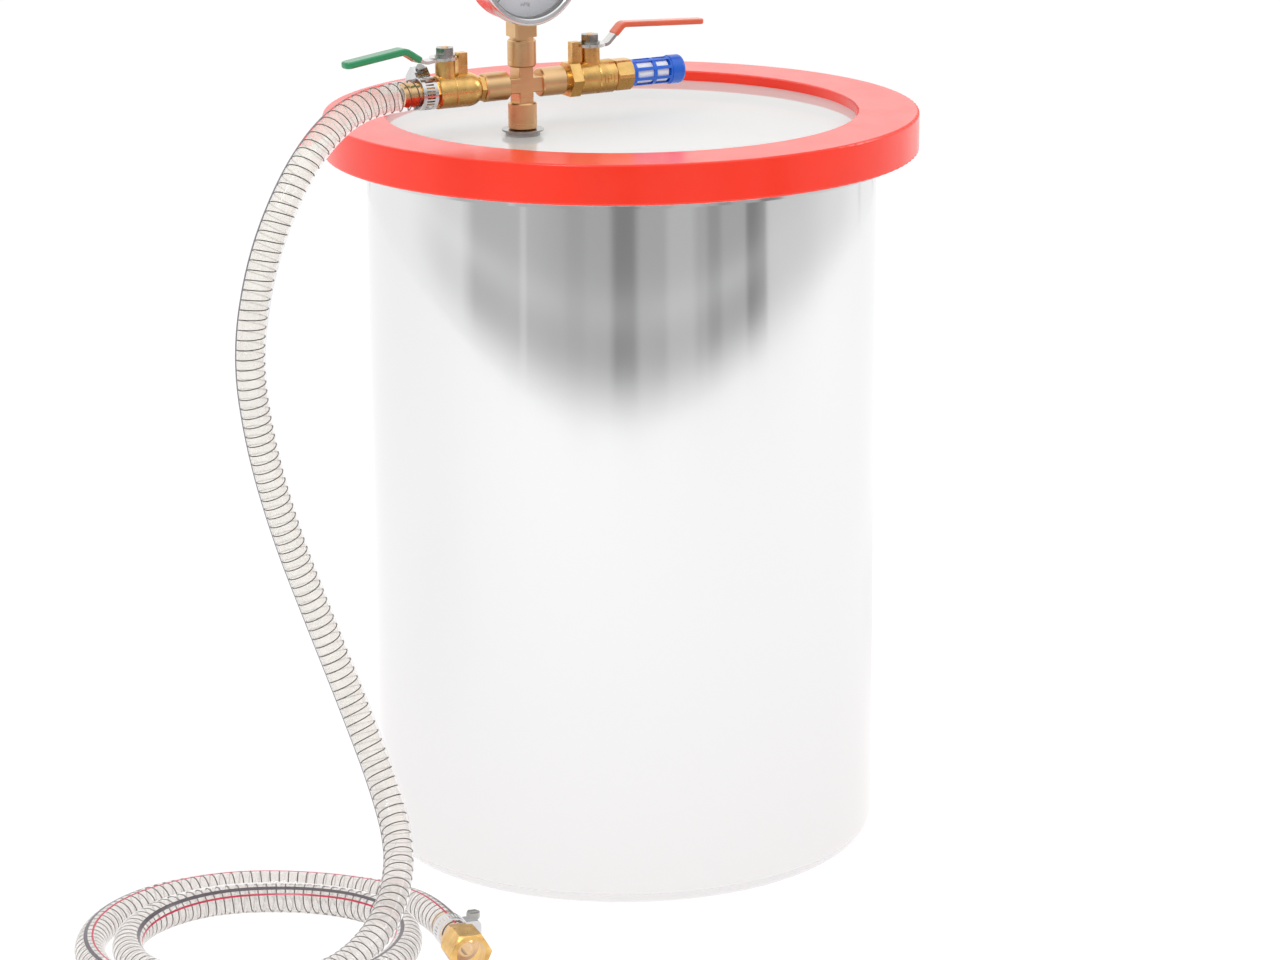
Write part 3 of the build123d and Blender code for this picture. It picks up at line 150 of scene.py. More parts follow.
class Finish:
    """A material with one Principled shader, and short ways to add procedural detail to it."""

    def __init__(self, name, color, roughness, metallic=0.0, **sockets):
        self.name = name
        self.material = bpy.data.materials.new(name)
        self.material.use_nodes = True
        self.tree = self.material.node_tree
        self.shader = self.tree.nodes["Principled BSDF"]
        self.color = color
        self.relief = None
        self.shader.inputs["Base Color"].default_value = (*color, 1)
        self.shader.inputs["Roughness"].default_value = roughness
        self.shader.inputs["Metallic"].default_value = metallic
        for socket, value in sockets.items():
            self.shader.inputs[socket.replace("_", " ")].default_value = value

    def feed(self, output, socket):
        """Links an output to a socket of the shader."""
        self.tree.links.new(output, self.shader.inputs[socket])

    def coordinates(self):
        return add_node(self.tree, "ShaderNodeTexCoord").outputs["Object"]

    def noise(self, scale, stretch, detail=3.0):
        """Noise over the object, drawn out along the axes where stretch is small."""
        mapping = add_node(self.tree, "ShaderNodeMapping")
        mapping.inputs["Scale"].default_value = stretch
        texture = add_node(self.tree, "ShaderNodeTexNoise")
        texture.inputs["Scale"].default_value = scale
        texture.inputs["Detail"].default_value = detail
        self.tree.links.new(self.coordinates(), mapping.inputs["Vector"])
        self.tree.links.new(mapping.outputs["Vector"], texture.inputs["Vector"])
        return texture.outputs["Fac"]

    def mottle(self, amount, scale, tint=(1, 1, 1)):
        """Colour that varies by amount around the base colour, with a tint in its dark parts."""
        low = tuple(c * (1 - amount) * t for c, t in zip(self.color, tint))
        high = tuple(min(1.0, c * (1 + amount)) for c in self.color)
        stops = [(NOISE_LOW, low), (NOISE_HIGH, high)]
        self.feed(color_ramp(self.tree, self.noise(scale, (1, 1, 1)), stops), "Base Color")
        return self

    def shade(self, color, vector, start, end):
        """Blends the mottled colour into another one as a vector's Z goes from start to end."""
        base = self.shader.inputs["Base Color"].links[0].from_socket
        split = add_node(self.tree, "ShaderNodeSeparateXYZ")
        self.tree.links.new(vector, split.inputs["Vector"])
        share = map_range(self.tree, split.outputs["Z"], start, end, curve="SMOOTHSTEP")
        self.feed(blend_color(self.tree, share, base, color), "Base Color")
        return self

    def painted_underside_shade(self, color):
        """Painted shade: a darker colour where the surface faces down, where less light falls."""
        normal = add_node(self.tree, "ShaderNodeNewGeometry").outputs["Normal"]
        return self.shade(color, normal, FACING_SIDE, FACING_DOWN)

    def painted_floor_shade(self, color):
        """Painted shade: a greyer colour where the piece lies on the floor, where less light
        reaches it.
        """
        return self.shade(color, self.coordinates(), ABOVE_FLOOR, ON_FLOOR)

    def satin_inside(self, radius, metallic):
        """Less metallic within a radius of the Z axis, as a brushed inner wall is."""
        flat = add_node(self.tree, "ShaderNodeVectorMath", operation="MULTIPLY")
        flat.inputs[1].default_value = (1, 1, 0)
        reach = add_node(self.tree, "ShaderNodeVectorMath", operation="LENGTH")
        self.tree.links.new(self.coordinates(), flat.inputs[0])
        self.tree.links.new(flat.outputs["Vector"], reach.inputs[0])
        share = map_range(self.tree, reach.outputs["Value"], radius - WALL_BLEND,
                          radius + WALL_BLEND, metallic, 1.0)
        self.feed(share, "Metallic")
        return self

    def vary_roughness(self, low, high, scale, stretch=(1, 1, 1)):
        noise = self.noise(scale, stretch)
        self.feed(map_range(self.tree, noise, NOISE_LOW, NOISE_HIGH, low, high), "Roughness")
        return self

    def bump(self, distance, scale, stretch=(1, 1, 1), strength=1.0, detail=3.0):
        """Fine relief, distance metres high. Calls add up."""
        made = add_node(self.tree, "ShaderNodeBump")
        made.inputs["Distance"].default_value = distance
        made.inputs["Strength"].default_value = strength
        self.tree.links.new(self.noise(scale, stretch, detail), made.inputs["Height"])
        if self.relief is not None:
            self.tree.links.new(self.relief, made.inputs["Normal"])
        self.relief = made.outputs["Normal"]
        self.feed(self.relief, "Normal")
        return self


def turned_brass(name, axis, low, high, strength):
    """Brass with fine rings round an axis: 0 is X and 2 is Z."""
    wide = [1 if k == axis else 0.03 for k in range(3)]
    fine = [1 if k == axis else 0.01 for k in range(3)]
    made = Finish(name, (0.76, 0.50, 0.26), 0.24, 1.0)
    # Painted shade: darker brown where the brass faces down
    made.mottle(0.07, 60).painted_underside_shade((0.40, 0.20, 0.08))
    return made.vary_roughness(low, high, 900, wide).bump(0.00005, 2600, fine, strength)


def dipped_vinyl(name, color):
    """Soft plastic of a lever's grip."""
    made = Finish(name, color, 0.24, Coat_Weight=0.4, Coat_Roughness=0.12)
    return made.mottle(0.08, 40).bump(0.00012, 260, strength=0.25)


def make_finishes():
    """Every material of the object, by name."""
    finishes = [
        Finish("pot_steel", (0.81, 0.81, 0.812), 0.09, 1.0)
        .satin_inside(POT_INSIDE, 0.45).vary_roughness(0.05, 0.13, 9, (1, 1, 0.12))
        .bump(0.0005, 26, (1, 1, 0.035), 0.3, 2.0).bump(0.00003, 240, (1, 1, 0.02), 0.3),
        Finish("silicone", (0.95, 0.026, 0.003), 0.20, Specular_IOR_Level=0.62, IOR=1.5)
        .mottle(0.05, 14).vary_roughness(0.17, 0.24, 60),
        Finish("acrylic", (0.81, 0.81, 0.795), 0.02, Alpha=0.80, IOR=1.7, Specular_IOR_Level=0.8),
        Finish("cast_brass", (0.80, 0.52, 0.19), 0.28, 1.0)
        # Painted shade: darker brown where the brass faces down
        .mottle(0.16, 130, tint=(0.95, 0.88, 0.8)).painted_underside_shade((0.34, 0.16, 0.04))
        .vary_roughness(0.22, 0.38, 210).bump(0.00016, 950, strength=0.35),
        turned_brass("turned_brass_x", 0, 0.18, 0.32, 0.15),
        turned_brass("turned_brass_z", 2, 0.26, 0.38, 0.10),
        Finish("plated_steel", (0.40, 0.395, 0.38), 0.20, 1.0)
        .mottle(0.15, 160).vary_roughness(0.12, 0.30, 320).bump(0.00005, 1300, strength=0.3),
        Finish("lever_steel", (0.72, 0.71, 0.69), 0.20, 1.0)
        .mottle(0.08, 160).vary_roughness(0.14, 0.28, 320).bump(0.00004, 1300, strength=0.3),
        Finish("band_steel", (0.66, 0.66, 0.67), 0.16, 1.0)
        .mottle(0.08, 90).vary_roughness(0.10, 0.24, 500, (1, 0.1, 0.1)),
        dipped_vinyl("green_vinyl", (0.014, 0.25, 0.095)),
        dipped_vinyl("red_vinyl", (0.72, 0.12, 0.05)),
        Finish("blue_plastic", (0.004, 0.12, 0.66), 0.26, Coat_Weight=0.3, Coat_Roughness=0.15)
        .mottle(0.07, 80).bump(0.00006, 900, strength=0.25),
        Finish("felt", (0.86, 0.89, 0.92), 0.95, Sheen_Weight=0.4)
        .mottle(0.05, 900).bump(0.0003, 1500, strength=0.6),
        Finish("ptfe", (0.90, 0.90, 0.88), 0.38).mottle(0.02, 120),
        Finish("black_rubber", (0.035, 0.035, 0.038), 0.55)
        .mottle(0.2, 300).bump(0.00008, 900, strength=0.4),
        Finish("clear_rubber", (0.55, 0.53, 0.51), 0.25, Alpha=0.75).mottle(0.05, 300),
        Finish("gauge_steel", (0.74, 0.74, 0.75), 0.13, 1.0)
        .vary_roughness(0.16, 0.26, 300).bump(0.00003, 900, strength=0.2),
        Finish("gauge_glass", (0.95, 0.97, 0.97), 0.03, Alpha=0.14),
        Finish("dial_white", (0.56, 0.60, 0.66), 0.42).mottle(0.03, 60),
        Finish("black_print", (0.02, 0.02, 0.022), 0.45).mottle(0.2, 400),
        Finish("bronze", (0.58, 0.33, 0.15), 0.28, 1.0).mottle(0.1, 150),
        Finish("hose_skin", (0.90, 0.89, 0.885), 0.05, Transmission_Weight=1.0, IOR=1.18)
        # Painted shade: greyer where the hose lies on the floor
        .mottle(0.01, 60).painted_floor_shade((0.88, 0.865, 0.86)).vary_roughness(0.03, 0.08, 70),
        Finish("hose_core", (0.86, 0.83, 0.76), 0.25, Alpha=0.30)
        # Painted shade: greyer where the hose lies on the floor
        .mottle(0.06, 90).painted_floor_shade((0.74, 0.71, 0.67)).vary_roughness(0.2, 0.35, 120),
        Finish("hose_wire", (0.085, 0.07, 0.065), 0.45).mottle(0.2, 200),
        Finish("dark_stripe", (0.10, 0.085, 0.10), 0.25).mottle(0.15, 300),
        Finish("red_stripe", (0.50, 0.03, 0.07), 0.25).mottle(0.1, 300),
    ]
    return {finish.name: finish.material for finish in finishes}


# Each node's material: by its whole name, by the ending of its name, or else the default
NODE_FINISH = {
    "pot_body": "pot_steel", "gasket_ring": "silicone", "lid_disc": "acrylic",
    "top_seal": "clear_rubber", "top_washer": "plated_steel",
    "bottom_seal": "black_rubber", "bottom_washer": "plated_steel",
    "vacuum_valve_body": "cast_brass", "vent_valve_body": "cast_brass",
    "vacuum_valve_end": "cast_brass", "vent_valve_end": "cast_brass",
    "vacuum_valve_ball": "gauge_steel", "vent_valve_ball": "gauge_steel",
    "vacuum_lever_grip": "green_vinyl", "vent_lever_grip": "red_vinyl",
    "hose_barb": "turned_brass_x", "hose_clamp_band": "band_steel",
    "hose_clamp_housing": "band_steel", "hose_clamp_screw": "plated_steel",
    "pump_barb": "turned_brass_x", "pump_clamp_band": "band_steel",
    "pump_clamp_housing": "band_steel", "pump_clamp_screw": "plated_steel",
    "pump_swivel_nut": "cast_brass",
    "filter_cage": "blue_plastic", "filter_element": "felt", "filter_cap": "blue_plastic",
    "gauge_case": "gauge_steel", "gauge_bezel": "gauge_steel", "gauge_lens": "gauge_glass",
    "gauge_dial": "dial_white", "gauge_pointer": "black_print", "bourdon_tube": "bronze",
}
ENDING_FINISH = {
    "_lever_arm": "lever_steel", "_lever_nut": "plated_steel",
    "_valve_seats": "ptfe", "_stem_packing": "ptfe",
}
DEFAULT_FINISH = "turned_brass_z"


def finish_cad_nodes(materials):
    """Gives each CAD node its material, in every slot that it has."""
    for name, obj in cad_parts.items():
        finish = NODE_FINISH.get(name, DEFAULT_FINISH)
        for ending, choice in ENDING_FINISH.items():
            if name.endswith(ending):
                finish = choice
        if not obj.data.materials:
            obj.data.materials.append(materials[finish])
        for slot in obj.material_slots:
            slot.material = materials[finish]
    # The pot leaves the floor round it evenly lit, as in the photo
    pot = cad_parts["pot_body"]
    pot.visible_diffuse = False
    pot.visible_shadow = False


# --- Meshes --------------------------------------------------------------------------------

WELD = 1e-6


def mesh_object(name, vertices, faces, materials, smooth=True):
    """Object with a closed mesh, its points welded and its faces turned outwards."""
    mesh = bpy.data.meshes.new(name)
    mesh.from_pydata(vertices, [], faces)
    solid = bmesh.new()
    solid.from_mesh(mesh)
    bmesh.ops.remove_doubles(solid, verts=solid.verts, dist=WELD)
    bmesh.ops.recalc_face_normals(solid, faces=solid.faces)
    solid.to_mesh(mesh)
    solid.free()
    for material in materials:
        mesh.materials.append(material)
    for polygon in mesh.polygons:
        polygon.use_smooth = smooth
    obj = bpy.data.objects.new(name, mesh)
    bpy.context.scene.collection.objects.link(obj)
    return obj


def circle(place, side, across, radius, around):
    """Points round a place, in the plane of side and across."""
    points = []
    for k in range(around):
        angle = 2 * math.pi * k / around
        points.append(place + radius * (math.cos(angle) * side + math.sin(angle) * across))
    return points


def skin_faces(first, rings, around):
    """Faces between circles of points that follow each other from a first point."""
    faces = []
    for ring in range(rings):
        for k in range(around):
            a = first + ring * around + k
            b = first + ring * around + (k + 1) % around
            faces.append([a, b, b + around, a + around])
    return faces


def add_bar(vertices, faces, rows, whole=False):
    """Bar through rows of four corners. A whole ring joins its last row to its first."""
    first = len(vertices)
    for row in rows:
        vertices.extend(row)
    for index in range(len(rows) if whole else len(rows) - 1):
        a = first + 4 * index
        b = first + 4 * ((index + 1) % len(rows))
        faces.extend([[a, b, b + 1, a + 1], [a + 2, a + 3, b + 3, b + 2],
                      [a, a + 2, b + 2, b], [a + 1, b + 1, b + 3, a + 3]])
    if not whole:
        last = len(vertices) - 4
        faces.extend([[end, end + 1, end + 3, end + 2] for end in (first, last)])


# --- Hose ----------------------------------------------------------------------------------

HOSE_RADIUS = 0.00875

# Route of the hanging hose, from the lid's barb to the coil on the floor
HANGING = [
    (-0.1305, -0.015, 0.4665), (-0.158, -0.015, 0.4665), (-0.184, -0.018, 0.461),
    (-0.207, -0.024, 0.4465), (-0.229, -0.030, 0.421), (-0.248, -0.033, 0.382),
    (-0.258, -0.034, 0.332), (-0.251, -0.033, 0.279), (-0.237, -0.033, 0.226),
    (-0.220, -0.037, 0.175), (-0.205, -0.047, 0.125), (-0.196, -0.067, 0.080),
    (-0.198, -0.092, 0.050), (-0.213, -0.116, 0.031), (-0.235, -0.136, 0.017),
]
# Route of its last stretch, from the coil to the pump fitting
TAIL = [
    (-0.209, -0.042, 0.009), (-0.191, -0.074, 0.0105),
    (-0.186, -0.112, 0.013), (-0.1925, -0.151, 0.013),
]
# The coil between them: it turns clockwise, and its second turn is the wider one
COIL_CENTRE = (-0.2917, -0.0884)
COIL_INNER = 0.068
COIL_OUTER = 0.089
COIL_START = -66.0
COIL_TURN = -602.0
COIL_STEPS = 28
GROW_FROM = -300.0
GROW_TO = -385.0
# Twist of the hose about its own line, between two distances from the lid
HOSE_TWIST = -87.0
TWIST_FROM = 0.45
TWIST_TO = 1.5

SPLINE_ORDER = 3
SPLINE_STEPS = 12

SKIN_SPACING = 0.0035
STRIP_COUNT = 48
DARK_STRIPS = (1, 2)
RED_STRIPS = (5,)
BARB_LENGTH = 0.021
CORE_RADIUS = 0.0064
CORE_BORE = 0.0061
CORE_SPACING = 0.004
CORE_AROUND = 24
HELIX_RADIUS = 0.0067
HELIX_PITCH = 0.0055
HELIX_PER_TURN = 18
HELIX_INSET = 0.002
WIRE_RADIUS = 0.00034
WIRE_AROUND = 5

# CAD nodes of the hose's far end
ON_HOSE = ["pump_barb", "pump_clamp_band", "pump_clamp_housing", "pump_clamp_screw",
           "pump_swivel_nut"]


def coil_points():
    """Control points of the loose turns, set out so that the curve runs at each turn's radius."""
    points = []
    turn = COIL_TURN / COIL_STEPS
    for index in range(COIL_STEPS + 1):
        degrees = COIL_START + turn * index
        grown = step(-degrees, -GROW_FROM, -GROW_TO)
        radius = COIL_INNER + (COIL_OUTER - COIL_INNER) * grown
        radius /= math.cos(math.radians(turn / 2))
        angle = math.radians(degrees)
        points.append((
            COIL_CENTRE[0] + radius * math.cos(angle),
            COIL_CENTRE[1] + radius * math.sin(angle),
            HOSE_RADIUS,
        ))
    return points


def route_line(points):
    """Points along the smooth curve that a NURBS spline makes of its control points."""
    curve = bpy.data.curves.new("hose_line", "CURVE")
    curve.dimensions = "3D"
    spline = curve.splines.new("NURBS")
    spline.points.add(len(points) - 1)
    for point, place in zip(spline.points, points):
        point.co = (*place, 1)
    spline.order_u = SPLINE_ORDER
    spline.use_endpoint_u = True
    spline.resolution_u = SPLINE_STEPS
    holder = bpy.data.objects.new("hose_line", curve)
    bpy.context.scene.collection.objects.link(holder)
    mesh = bpy.data.meshes.new_from_object(holder)
    line = [vertex.co.copy() for vertex in mesh.vertices]
    bpy.data.objects.remove(holder)
    return line


class Route:
    """Distances and upright frames along a line of points."""

    def __init__(self, line):
        self.line = line
        self.reach = [0.0]
        for before, after in zip(line, line[1:]):
            self.reach.append(self.reach[-1] + (after - before).length)
        self.length = self.reach[-1]
        self.sides = []
        side = Vector((0, 0, 1))
        for index in range(len(line)):
            way = self.way(index)
            side = (side - way * side.dot(way)).normalized()
            self.sides.append(side.copy())
        self.index = 0

    def way(self, index):
        """Direction of the line at one of its points."""
        first = max(index - 1, 0)
        last = min(index + 1, len(self.line) - 1)
        return (self.line[last] - self.line[first]).normalized()

    def at(self, distance):
        """Place, side and across vectors at a distance along the line, with the hose's twist.
        The search goes on from the last distance asked for, or starts again behind it."""
        if distance < self.reach[self.index]:
            self.index = 0
        while self.index < len(self.line) - 2 and self.reach[self.index + 1] < distance:
            self.index += 1
        i = self.index
        share = (distance - self.reach[i]) / (self.reach[i + 1] - self.reach[i])
        place = self.line[i].lerp(self.line[i + 1], share)
        way = self.way(i).lerp(self.way(i + 1), share).normalized()
        side = self.sides[i].lerp(self.sides[i + 1], share)
        side = (side - way * side.dot(way)).normalized()
        twist = math.radians(HOSE_TWIST * step(distance, TWIST_FROM, TWIST_TO))
        side = math.cos(twist) * side + math.sin(twist) * way.cross(side)
        return place, side, way.cross(side)


def make_skin(route, materials):
    """Solid clear tube along the whole route, with its coloured strips."""
    rings = round(route.length / SKIN_SPACING)
    vertices = []
    for ring in range(rings + 1):
        place, side, across = route.at(route.length * ring / rings)
        vertices += circle(place, side, across, HOSE_RADIUS, STRIP_COUNT)
    faces = skin_faces(0, rings, STRIP_COUNT)
    slots = []
    for index in range(len(faces)):
        strip = index % STRIP_COUNT
        slots.append(1 if strip in DARK_STRIPS else 2 if strip in RED_STRIPS else 0)
    for first in (0, rings * STRIP_COUNT):
        faces.append(list(range(first, first + STRIP_COUNT)))
        slots.append(0)
    looks = [materials[name] for name in ("hose_skin", "dark_stripe", "red_stripe")]
    skin = mesh_object("hose_skin", vertices, faces, looks)
    skin.data.polygons.foreach_set("material_index", slots)
    return skin


def make_core(route, materials):
    """Thin milky tube inside the skin, from the end of the lid's barb on."""
    reach = route.length - BARB_LENGTH
    rings = round(reach / CORE_SPACING)
    vertices = []
    for radius in (CORE_RADIUS, CORE_BORE):
        for ring in range(rings + 1):
            place, side, across = route.at(BARB_LENGTH + reach * ring / rings)
            vertices += circle(place, side, across, radius, CORE_AROUND)
    bore = (rings + 1) * CORE_AROUND
    faces = skin_faces(0, rings, CORE_AROUND) + skin_faces(bore, rings, CORE_AROUND)
    for first in (0, rings * CORE_AROUND):
        for k in range(CORE_AROUND):
            a = first + k
            b = first + (k + 1) % CORE_AROUND
            faces.append([a, b, b + bore, a + bore])
    return mesh_object("hose_core", vertices, faces, [materials["hose_core"]])


def make_wire(route, materials):
    """Wire wound round the core."""
    turns = (route.length - 2 * HELIX_INSET) / HELIX_PITCH
    count = int(turns * HELIX_PER_TURN)
    places = []
    for index in range(count + 1):
        place, side, across = route.at(HELIX_INSET + index / HELIX_PER_TURN * HELIX_PITCH)
        angle = 2 * math.pi * index / HELIX_PER_TURN
        outward = math.cos(angle) * side + math.sin(angle) * across
        places.append((place + HELIX_RADIUS * outward, outward))
    vertices = []
    for index, (place, outward) in enumerate(places):
        first = places[max(index - 1, 0)][0]
        last = places[min(index + 1, count)][0]
        across = (last - first).cross(outward).normalized()
        vertices += circle(place, outward, across, WIRE_RADIUS, WIRE_AROUND)
    faces = skin_faces(0, count, WIRE_AROUND)
    for first in (0, count * WIRE_AROUND):
        faces.append(list(range(first, first + WIRE_AROUND)))
    return mesh_object("hose_wire", vertices, faces, [materials["hose_wire"]])


def make_hose(materials):
    """Skin, core and wire on one line. The hose shows in no reflection and casts no shadow."""
    line = route_line(HANGING + coil_points() + TAIL)
    route = Route(line)
    skin = make_skin(route, materials)
    core = make_core(route, materials)
    wire = make_wire(route, materials)
    on_hose = [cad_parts[name] for name in ON_HOSE]
    for piece in (skin, core, wire):
        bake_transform(piece)
    for piece in [skin, core, wire] + on_hose:
        piece.visible_glossy = False
        piece.visible_diffuse = False
        piece.visible_shadow = False
    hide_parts("hose_run", "hose_landing", "hose_coil", "hose_tail")


# --- Gauge dial ----------------------------------------------------------------------------

GAUGE_CENTRE = Vector((-0.073, -0.015, 0.533))
DIAL_FRONT = -0.0198
DIAL_LIFT = 0.00012
PRINT_HALF = 0.00004

# The scale runs anticlockwise from its zero, which is at the lower right
ZERO_ANGLE = -45.0
SCALE_SWEEP = 270.0
SCALE_END = 30
SCALE_NUMBERED = 5
SCALE_DOWN = 270

TICK_OUTER = 0.0252
# Inner radius of a tick, and half the angle that it covers
LONG_TICK = (0.0222, 0.9)
SHORT_TICK = (0.0236, 0.45)
ARC_OUTER = 0.02545
ARC_STEPS = 90
NUMBER_RADIUS = 0.0183
NUMBER_SIZE = 0.0052
NUMBER_STEPS = 4
# Text, radius and size
LABELS = [("VAC", 0.0150, 0.0046), ("inHg", 0.0200, 0.0032)]

# Black ring round the dial's edge, just behind the lens: radii, lifts towards the lens, and steps
DIAL_RIM_INNER = 0.0264
DIAL_RIM_OUTER = 0.0286
DIAL_RIM_BACK = 0.0048
DIAL_RIM_FRONT = 0.0061
DIAL_RIM_STEPS = 120


def dial_place(radius, degrees, lift):
    """Point over the dial's face; degrees run from +X, and lift is towards the lens."""
    angle = math.radians(degrees)
    return Vector((
        GAUGE_CENTRE.x + radius * math.cos(angle),
        DIAL_FRONT - lift,
        GAUGE_CENTRE.z + radius * math.sin(angle),
    ))


def ring_sector(vertices, faces, inner, outer, start, end, near, far, steps):
    """Bar of ring shape over the dial, between two lifts. A full turn closes on itself."""
    whole = end - start == 360
    rows = []
    for index in range(steps if whole else steps + 1):
        degrees = start + (end - start) * index / steps
        rows.append([dial_place(radius, degrees, lift)
                     for lift in (near, far) for radius in (inner, outer)])
    add_bar(vertices, faces, rows, whole)


def lettering(text, radius, degrees, size, vertices, faces):
    """Text on the dial, with a little thickness."""
    curve = bpy.data.curves.new("lettering", "FONT")
    curve.body = text
    curve.size = size
    curve.extrude = PRINT_HALF
    curve.align_x = "CENTER"
    curve.align_y = "CENTER"
    curve.resolution_u = NUMBER_STEPS
    holder = bpy.data.objects.new("lettering", curve)
    bpy.context.scene.collection.objects.link(holder)
    mesh = bpy.data.meshes.new_from_object(holder)
    centre = dial_place(radius, degrees, DIAL_LIFT)
    first = len(vertices)
    for vertex in mesh.vertices:
        vertices.append(centre + Vector((vertex.co.x, -vertex.co.z, vertex.co.y)))
    for polygon in mesh.polygons:
        faces.append([first + index for index in polygon.vertices])
    bpy.data.objects.remove(holder)
    bpy.data.meshes.remove(mesh)


def make_dial(materials):
    """Scale, numbers and unit of the gauge, and a black ring round the dial's edge, under its lens.
    """
    vertices, faces = [], []
    for value in range(SCALE_END + 1):
        degrees = ZERO_ANGLE + SCALE_SWEEP * value / SCALE_END
        inner, half = SHORT_TICK if value % SCALE_NUMBERED else LONG_TICK
        ring_sector(vertices, faces, inner, TICK_OUTER, degrees - half, degrees + half,
                    0.0, DIAL_LIFT, 1)
    ring_sector(vertices, faces, TICK_OUTER, ARC_OUTER, ZERO_ANGLE, ZERO_ANGLE + SCALE_SWEEP,
                0.0, DIAL_LIFT, ARC_STEPS)
    for value in range(0, SCALE_END + 1, SCALE_NUMBERED):
        degrees = ZERO_ANGLE + SCALE_SWEEP * value / SCALE_END
        text = "0" if value == 0 else f"-{value}"
        lettering(text, NUMBER_RADIUS, degrees, NUMBER_SIZE, vertices, faces)
    for text, radius, size in LABELS:
        lettering(text, radius, SCALE_DOWN, size, vertices, faces)
    marks = mesh_object("dial_marks", vertices, faces, [materials["black_print"]], smooth=False)
    # A black ring round the dial's edge, just inside the bezel
    vertices, faces = [], []
    ring_sector(vertices, faces, DIAL_RIM_INNER, DIAL_RIM_OUTER, 0, 360, DIAL_RIM_BACK, DIAL_RIM_FRONT, DIAL_RIM_STEPS)
    seal = mesh_object("dark_dial_rim", vertices, faces, [materials["black_rubber"]], smooth=False)
    for piece in (marks, seal):
        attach(piece, "lid")


# --- Valve marks ---------------------------------------------------------------------------

MANIFOLD = Vector((-0.073, -0.015, 0.4665))
# Distance along the manifold, and the two angles that a bar lies between
MARKS = [(0.0492, -16, 16), (0.0512, -16, 4), (0.0532, -4, 16), (0.0552, -16, 16)]
MARK_WIDTH = 0.0011
MARK_RADII = (0.0092, 0.0102)
MARK_STEPS = 6
MARK_ROUNDING = 0.00018


def make_valve_marks(materials):
    """Plain raised bars cast on the front of the vent valve's barrel."""
    vertices, faces = [], []
    for start, low, high in MARKS:
        rows = []
        for index in range(MARK_STEPS + 1):
            angle = math.radians(low + (high - low) * index / MARK_STEPS)
            rows.append([MANIFOLD + Vector((x, -radius * math.cos(angle), radius * math.sin(angle)))
                         for x in (start, start + MARK_WIDTH) for radius in MARK_RADII])
        add_bar(vertices, faces, rows)
    look = [materials["cast_brass"]]
    marks = mesh_object("vent_valve_marks", vertices, faces, look, smooth=False)
    rounded = marks.modifiers.new("rounded", "BEVEL")
    rounded.width = MARK_ROUNDING
    rounded.segments = 2
    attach(marks, "lid")


# --- Stage ---------------------------------------------------------------------------------

FLOOR_SIZE = 14.0
CAMERA_SIDE = -118.96

# Dark panels of the reflector: direction from the camera's, half width, softness, darkness.
# A negative darkness lightens.
PANELS = [
    (-4, 66, 10, 0.34), (0, 96, 30, 0.20), (45, 75, 24, 0.16), (1, 5, 4, 0.44),
    (25, 6, 4, -0.22), (40, 3, 3, 0.22), (60, 5, 2, 0.46), (-43, 1.5, 1, -0.22),
    (-20, 4, 3, 0.08), (-155, 1.2, 0.8, 0.45), (131, 1, 0.8, 0.3), (153, 1.2, 0.8, 0.45),
]
REFLECTOR_AROUND = 720
REFLECTOR_HEIGHT = 0.002
# Inner radius on the camera's side, and half of what it grows by on the far side
REFLECTOR_INNER = 1.27
REFLECTOR_GROWS = 0.38
# Distances from the inner edge: the mesh's rows, the edge's fade, and the lighter band's edges
REFLECTOR_ROWS = [0, 0.05, 0.1, 0.15, 0.2, 0.3, 0.36, 0.4, 0.44, 0.48, 0.54, 0.8, 2.0, 5.0]
EDGE_FADE = 0.22
BAND_STARTS = (0.32, 0.40)
BAND_ENDS = (0.44, 0.5)
BAND_LIGHTER = 0.35

# Brightness of the sky by height, and behind the object, where it is full from this cosine on
SKY_LEVELS = [(0.0, 0.28), (0.12, 0.32), (0.4, 0.62), (0.75, 1.0)]
BEHIND_LEVEL = 0.9
BEHIND_FULL = 0.5
SKY_STRENGTH = 1.2

# Name, place, size and power of each light, and the place that they aim at
LIGHTS = [
    ("key_light", (-2.2, -1.6, 2.6), (0.9, 0.7), 22),
    ("fill_light", (2.4, -1.0, 1.8), (0.7, 0.9), 9),
]
LIGHTS_AIM = (0, 0, 0.3)


def stage_mesh(name, vertices, faces, material):
    """Object of the stage, which is no part of the model."""
    mesh = bpy.data.meshes.new(name)
    mesh.from_pydata(vertices, [], faces)
    obj = bpy.data.objects.new(name, mesh)
    obj.data.materials.append(material)
    bpy.context.scene.collection.objects.link(obj)
    return obj


def area_light(name, place, size, power):
    data = bpy.data.lights.new(name, "AREA")
    data.shape = "RECTANGLE"
    data.size, data.size_y = size
    data.energy = power
    light = bpy.data.objects.new(name, data)
    light.location = place
    way = Vector(LIGHTS_AIM) - Vector(place)
    light.rotation_euler = way.to_track_quat("-Z", "Y").to_euler()
    bpy.context.scene.collection.objects.link(light)


def panel_shade(degrees):
    """Brightness that the panels leave in a direction."""
    shade = 1.0
    for centre, half, soft, dark in PANELS:
        away = abs((degrees - centre + 180) % 360 - 180)
        shade *= 1 - dark * (1 - step(away, half - soft / 2, half + soft / 2))
    return shade


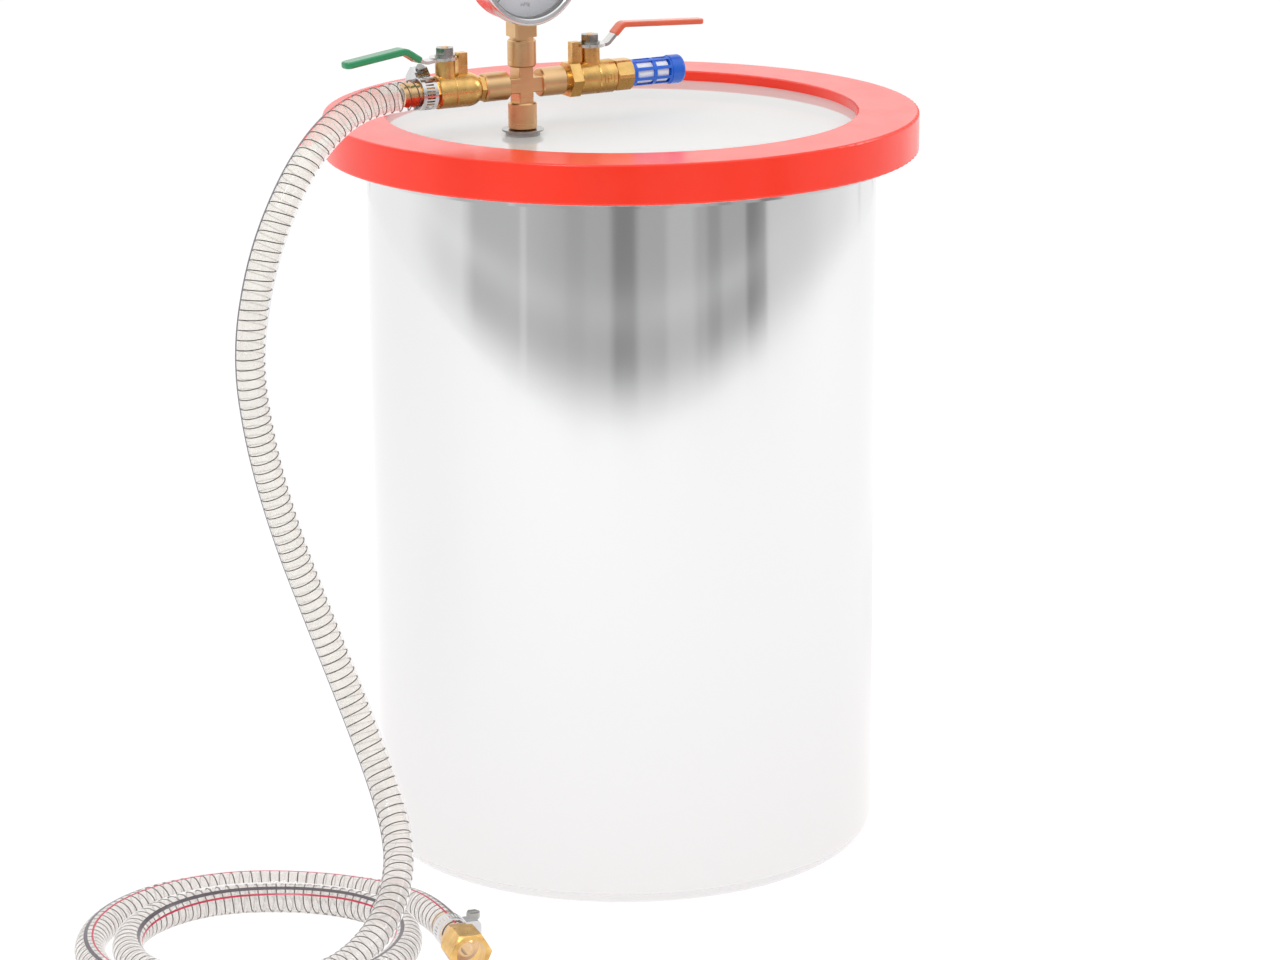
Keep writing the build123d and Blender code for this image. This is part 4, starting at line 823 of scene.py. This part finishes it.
def make_reflector():
    """Ring of grey panels on the floor, far from the object, that only shiny surfaces see."""
    vertices, faces, shades = [], [], []
    count = len(REFLECTOR_ROWS)
    for index in range(REFLECTOR_AROUND):
        degrees = index * 360 / REFLECTOR_AROUND
        angle = math.radians(degrees + CAMERA_SIDE)
        inner = REFLECTOR_INNER + REFLECTOR_GROWS * (1 - math.cos(math.radians(degrees)))
        for row in REFLECTOR_ROWS:
            reach = inner + row
            vertices.append((reach * math.cos(angle), reach * math.sin(angle), REFLECTOR_HEIGHT))
            band = step(row, *BAND_ENDS) - step(row, *BAND_STARTS)
            depth = step(row, 0, EDGE_FADE) * (1 + BAND_LIGHTER * band)
            shades.append(1 - (1 - panel_shade(degrees)) * depth)
        for row in range(count - 1):
            a = index * count + row
            b = (index + 1) % REFLECTOR_AROUND * count + row
            faces.append([a, a + 1, b + 1, b])
    material = bpy.data.materials.new("reflector")
    material.use_nodes = True
    tree = material.node_tree
    tree.nodes.clear()
    read = add_node(tree, "ShaderNodeAttribute", attribute_name="shade")
    glow = add_node(tree, "ShaderNodeEmission")
    output = add_node(tree, "ShaderNodeOutputMaterial")
    tree.links.new(read.outputs["Fac"], glow.inputs["Strength"])
    tree.links.new(glow.outputs["Emission"], output.inputs["Surface"])
    ring = stage_mesh("reflector", vertices, faces, material)
    ring.data.attributes.new("shade", "FLOAT", "POINT").data.foreach_set("value", shades)
    ring.visible_camera = False
    ring.visible_diffuse = False
    ring.visible_transmission = False
    ring.visible_shadow = False


def make_sky():
    """White studio: dim low down on the camera's side, bright overhead and behind the object."""
    world = bpy.data.worlds.new("studio")
    world.use_nodes = True
    tree = world.node_tree
    way = add_node(tree, "ShaderNodeTexCoord").outputs["Generated"]
    split = add_node(tree, "ShaderNodeSeparateXYZ")
    tree.links.new(way, split.inputs["Vector"])
    stops = [(height, (level, level, level)) for height, level in SKY_LEVELS]
    sky = color_ramp(tree, split.outputs["Z"], stops)
    side = math.radians(CAMERA_SIDE)
    ahead = add_node(tree, "ShaderNodeVectorMath", operation="DOT_PRODUCT")
    ahead.inputs[1].default_value = (-math.cos(side), -math.sin(side), 0)
    tree.links.new(way, ahead.inputs[0])
    behind = map_range(tree, ahead.outputs["Value"], 0.0, BEHIND_FULL, curve="SMOOTHSTEP")
    background = tree.nodes["Background"]
    background.inputs["Strength"].default_value = SKY_STRENGTH
    color = blend_color(tree, behind, sky, (BEHIND_LEVEL, BEHIND_LEVEL, BEHIND_LEVEL))
    tree.links.new(color, background.inputs["Color"])
    bpy.context.scene.world = world


def make_stage():
    size = FLOOR_SIZE
    corners = [(-size, -size, 0), (size, -size, 0), (size, size, 0), (-size, size, 0)]
    look = Finish("floor", (0.93, 0.93, 0.93), 0.9).material
    stage_mesh("floor", corners, [(0, 1, 2, 3)], look)
    make_reflector()
    make_sky()
    for light in LIGHTS:
        area_light(*light)
    bpy.context.scene.view_settings.view_transform = "Standard"


make_camera()
materials = make_finishes()
make_hose(materials)
make_stage()
finish_cad_nodes(materials)
make_dial(materials)
make_valve_marks(materials)
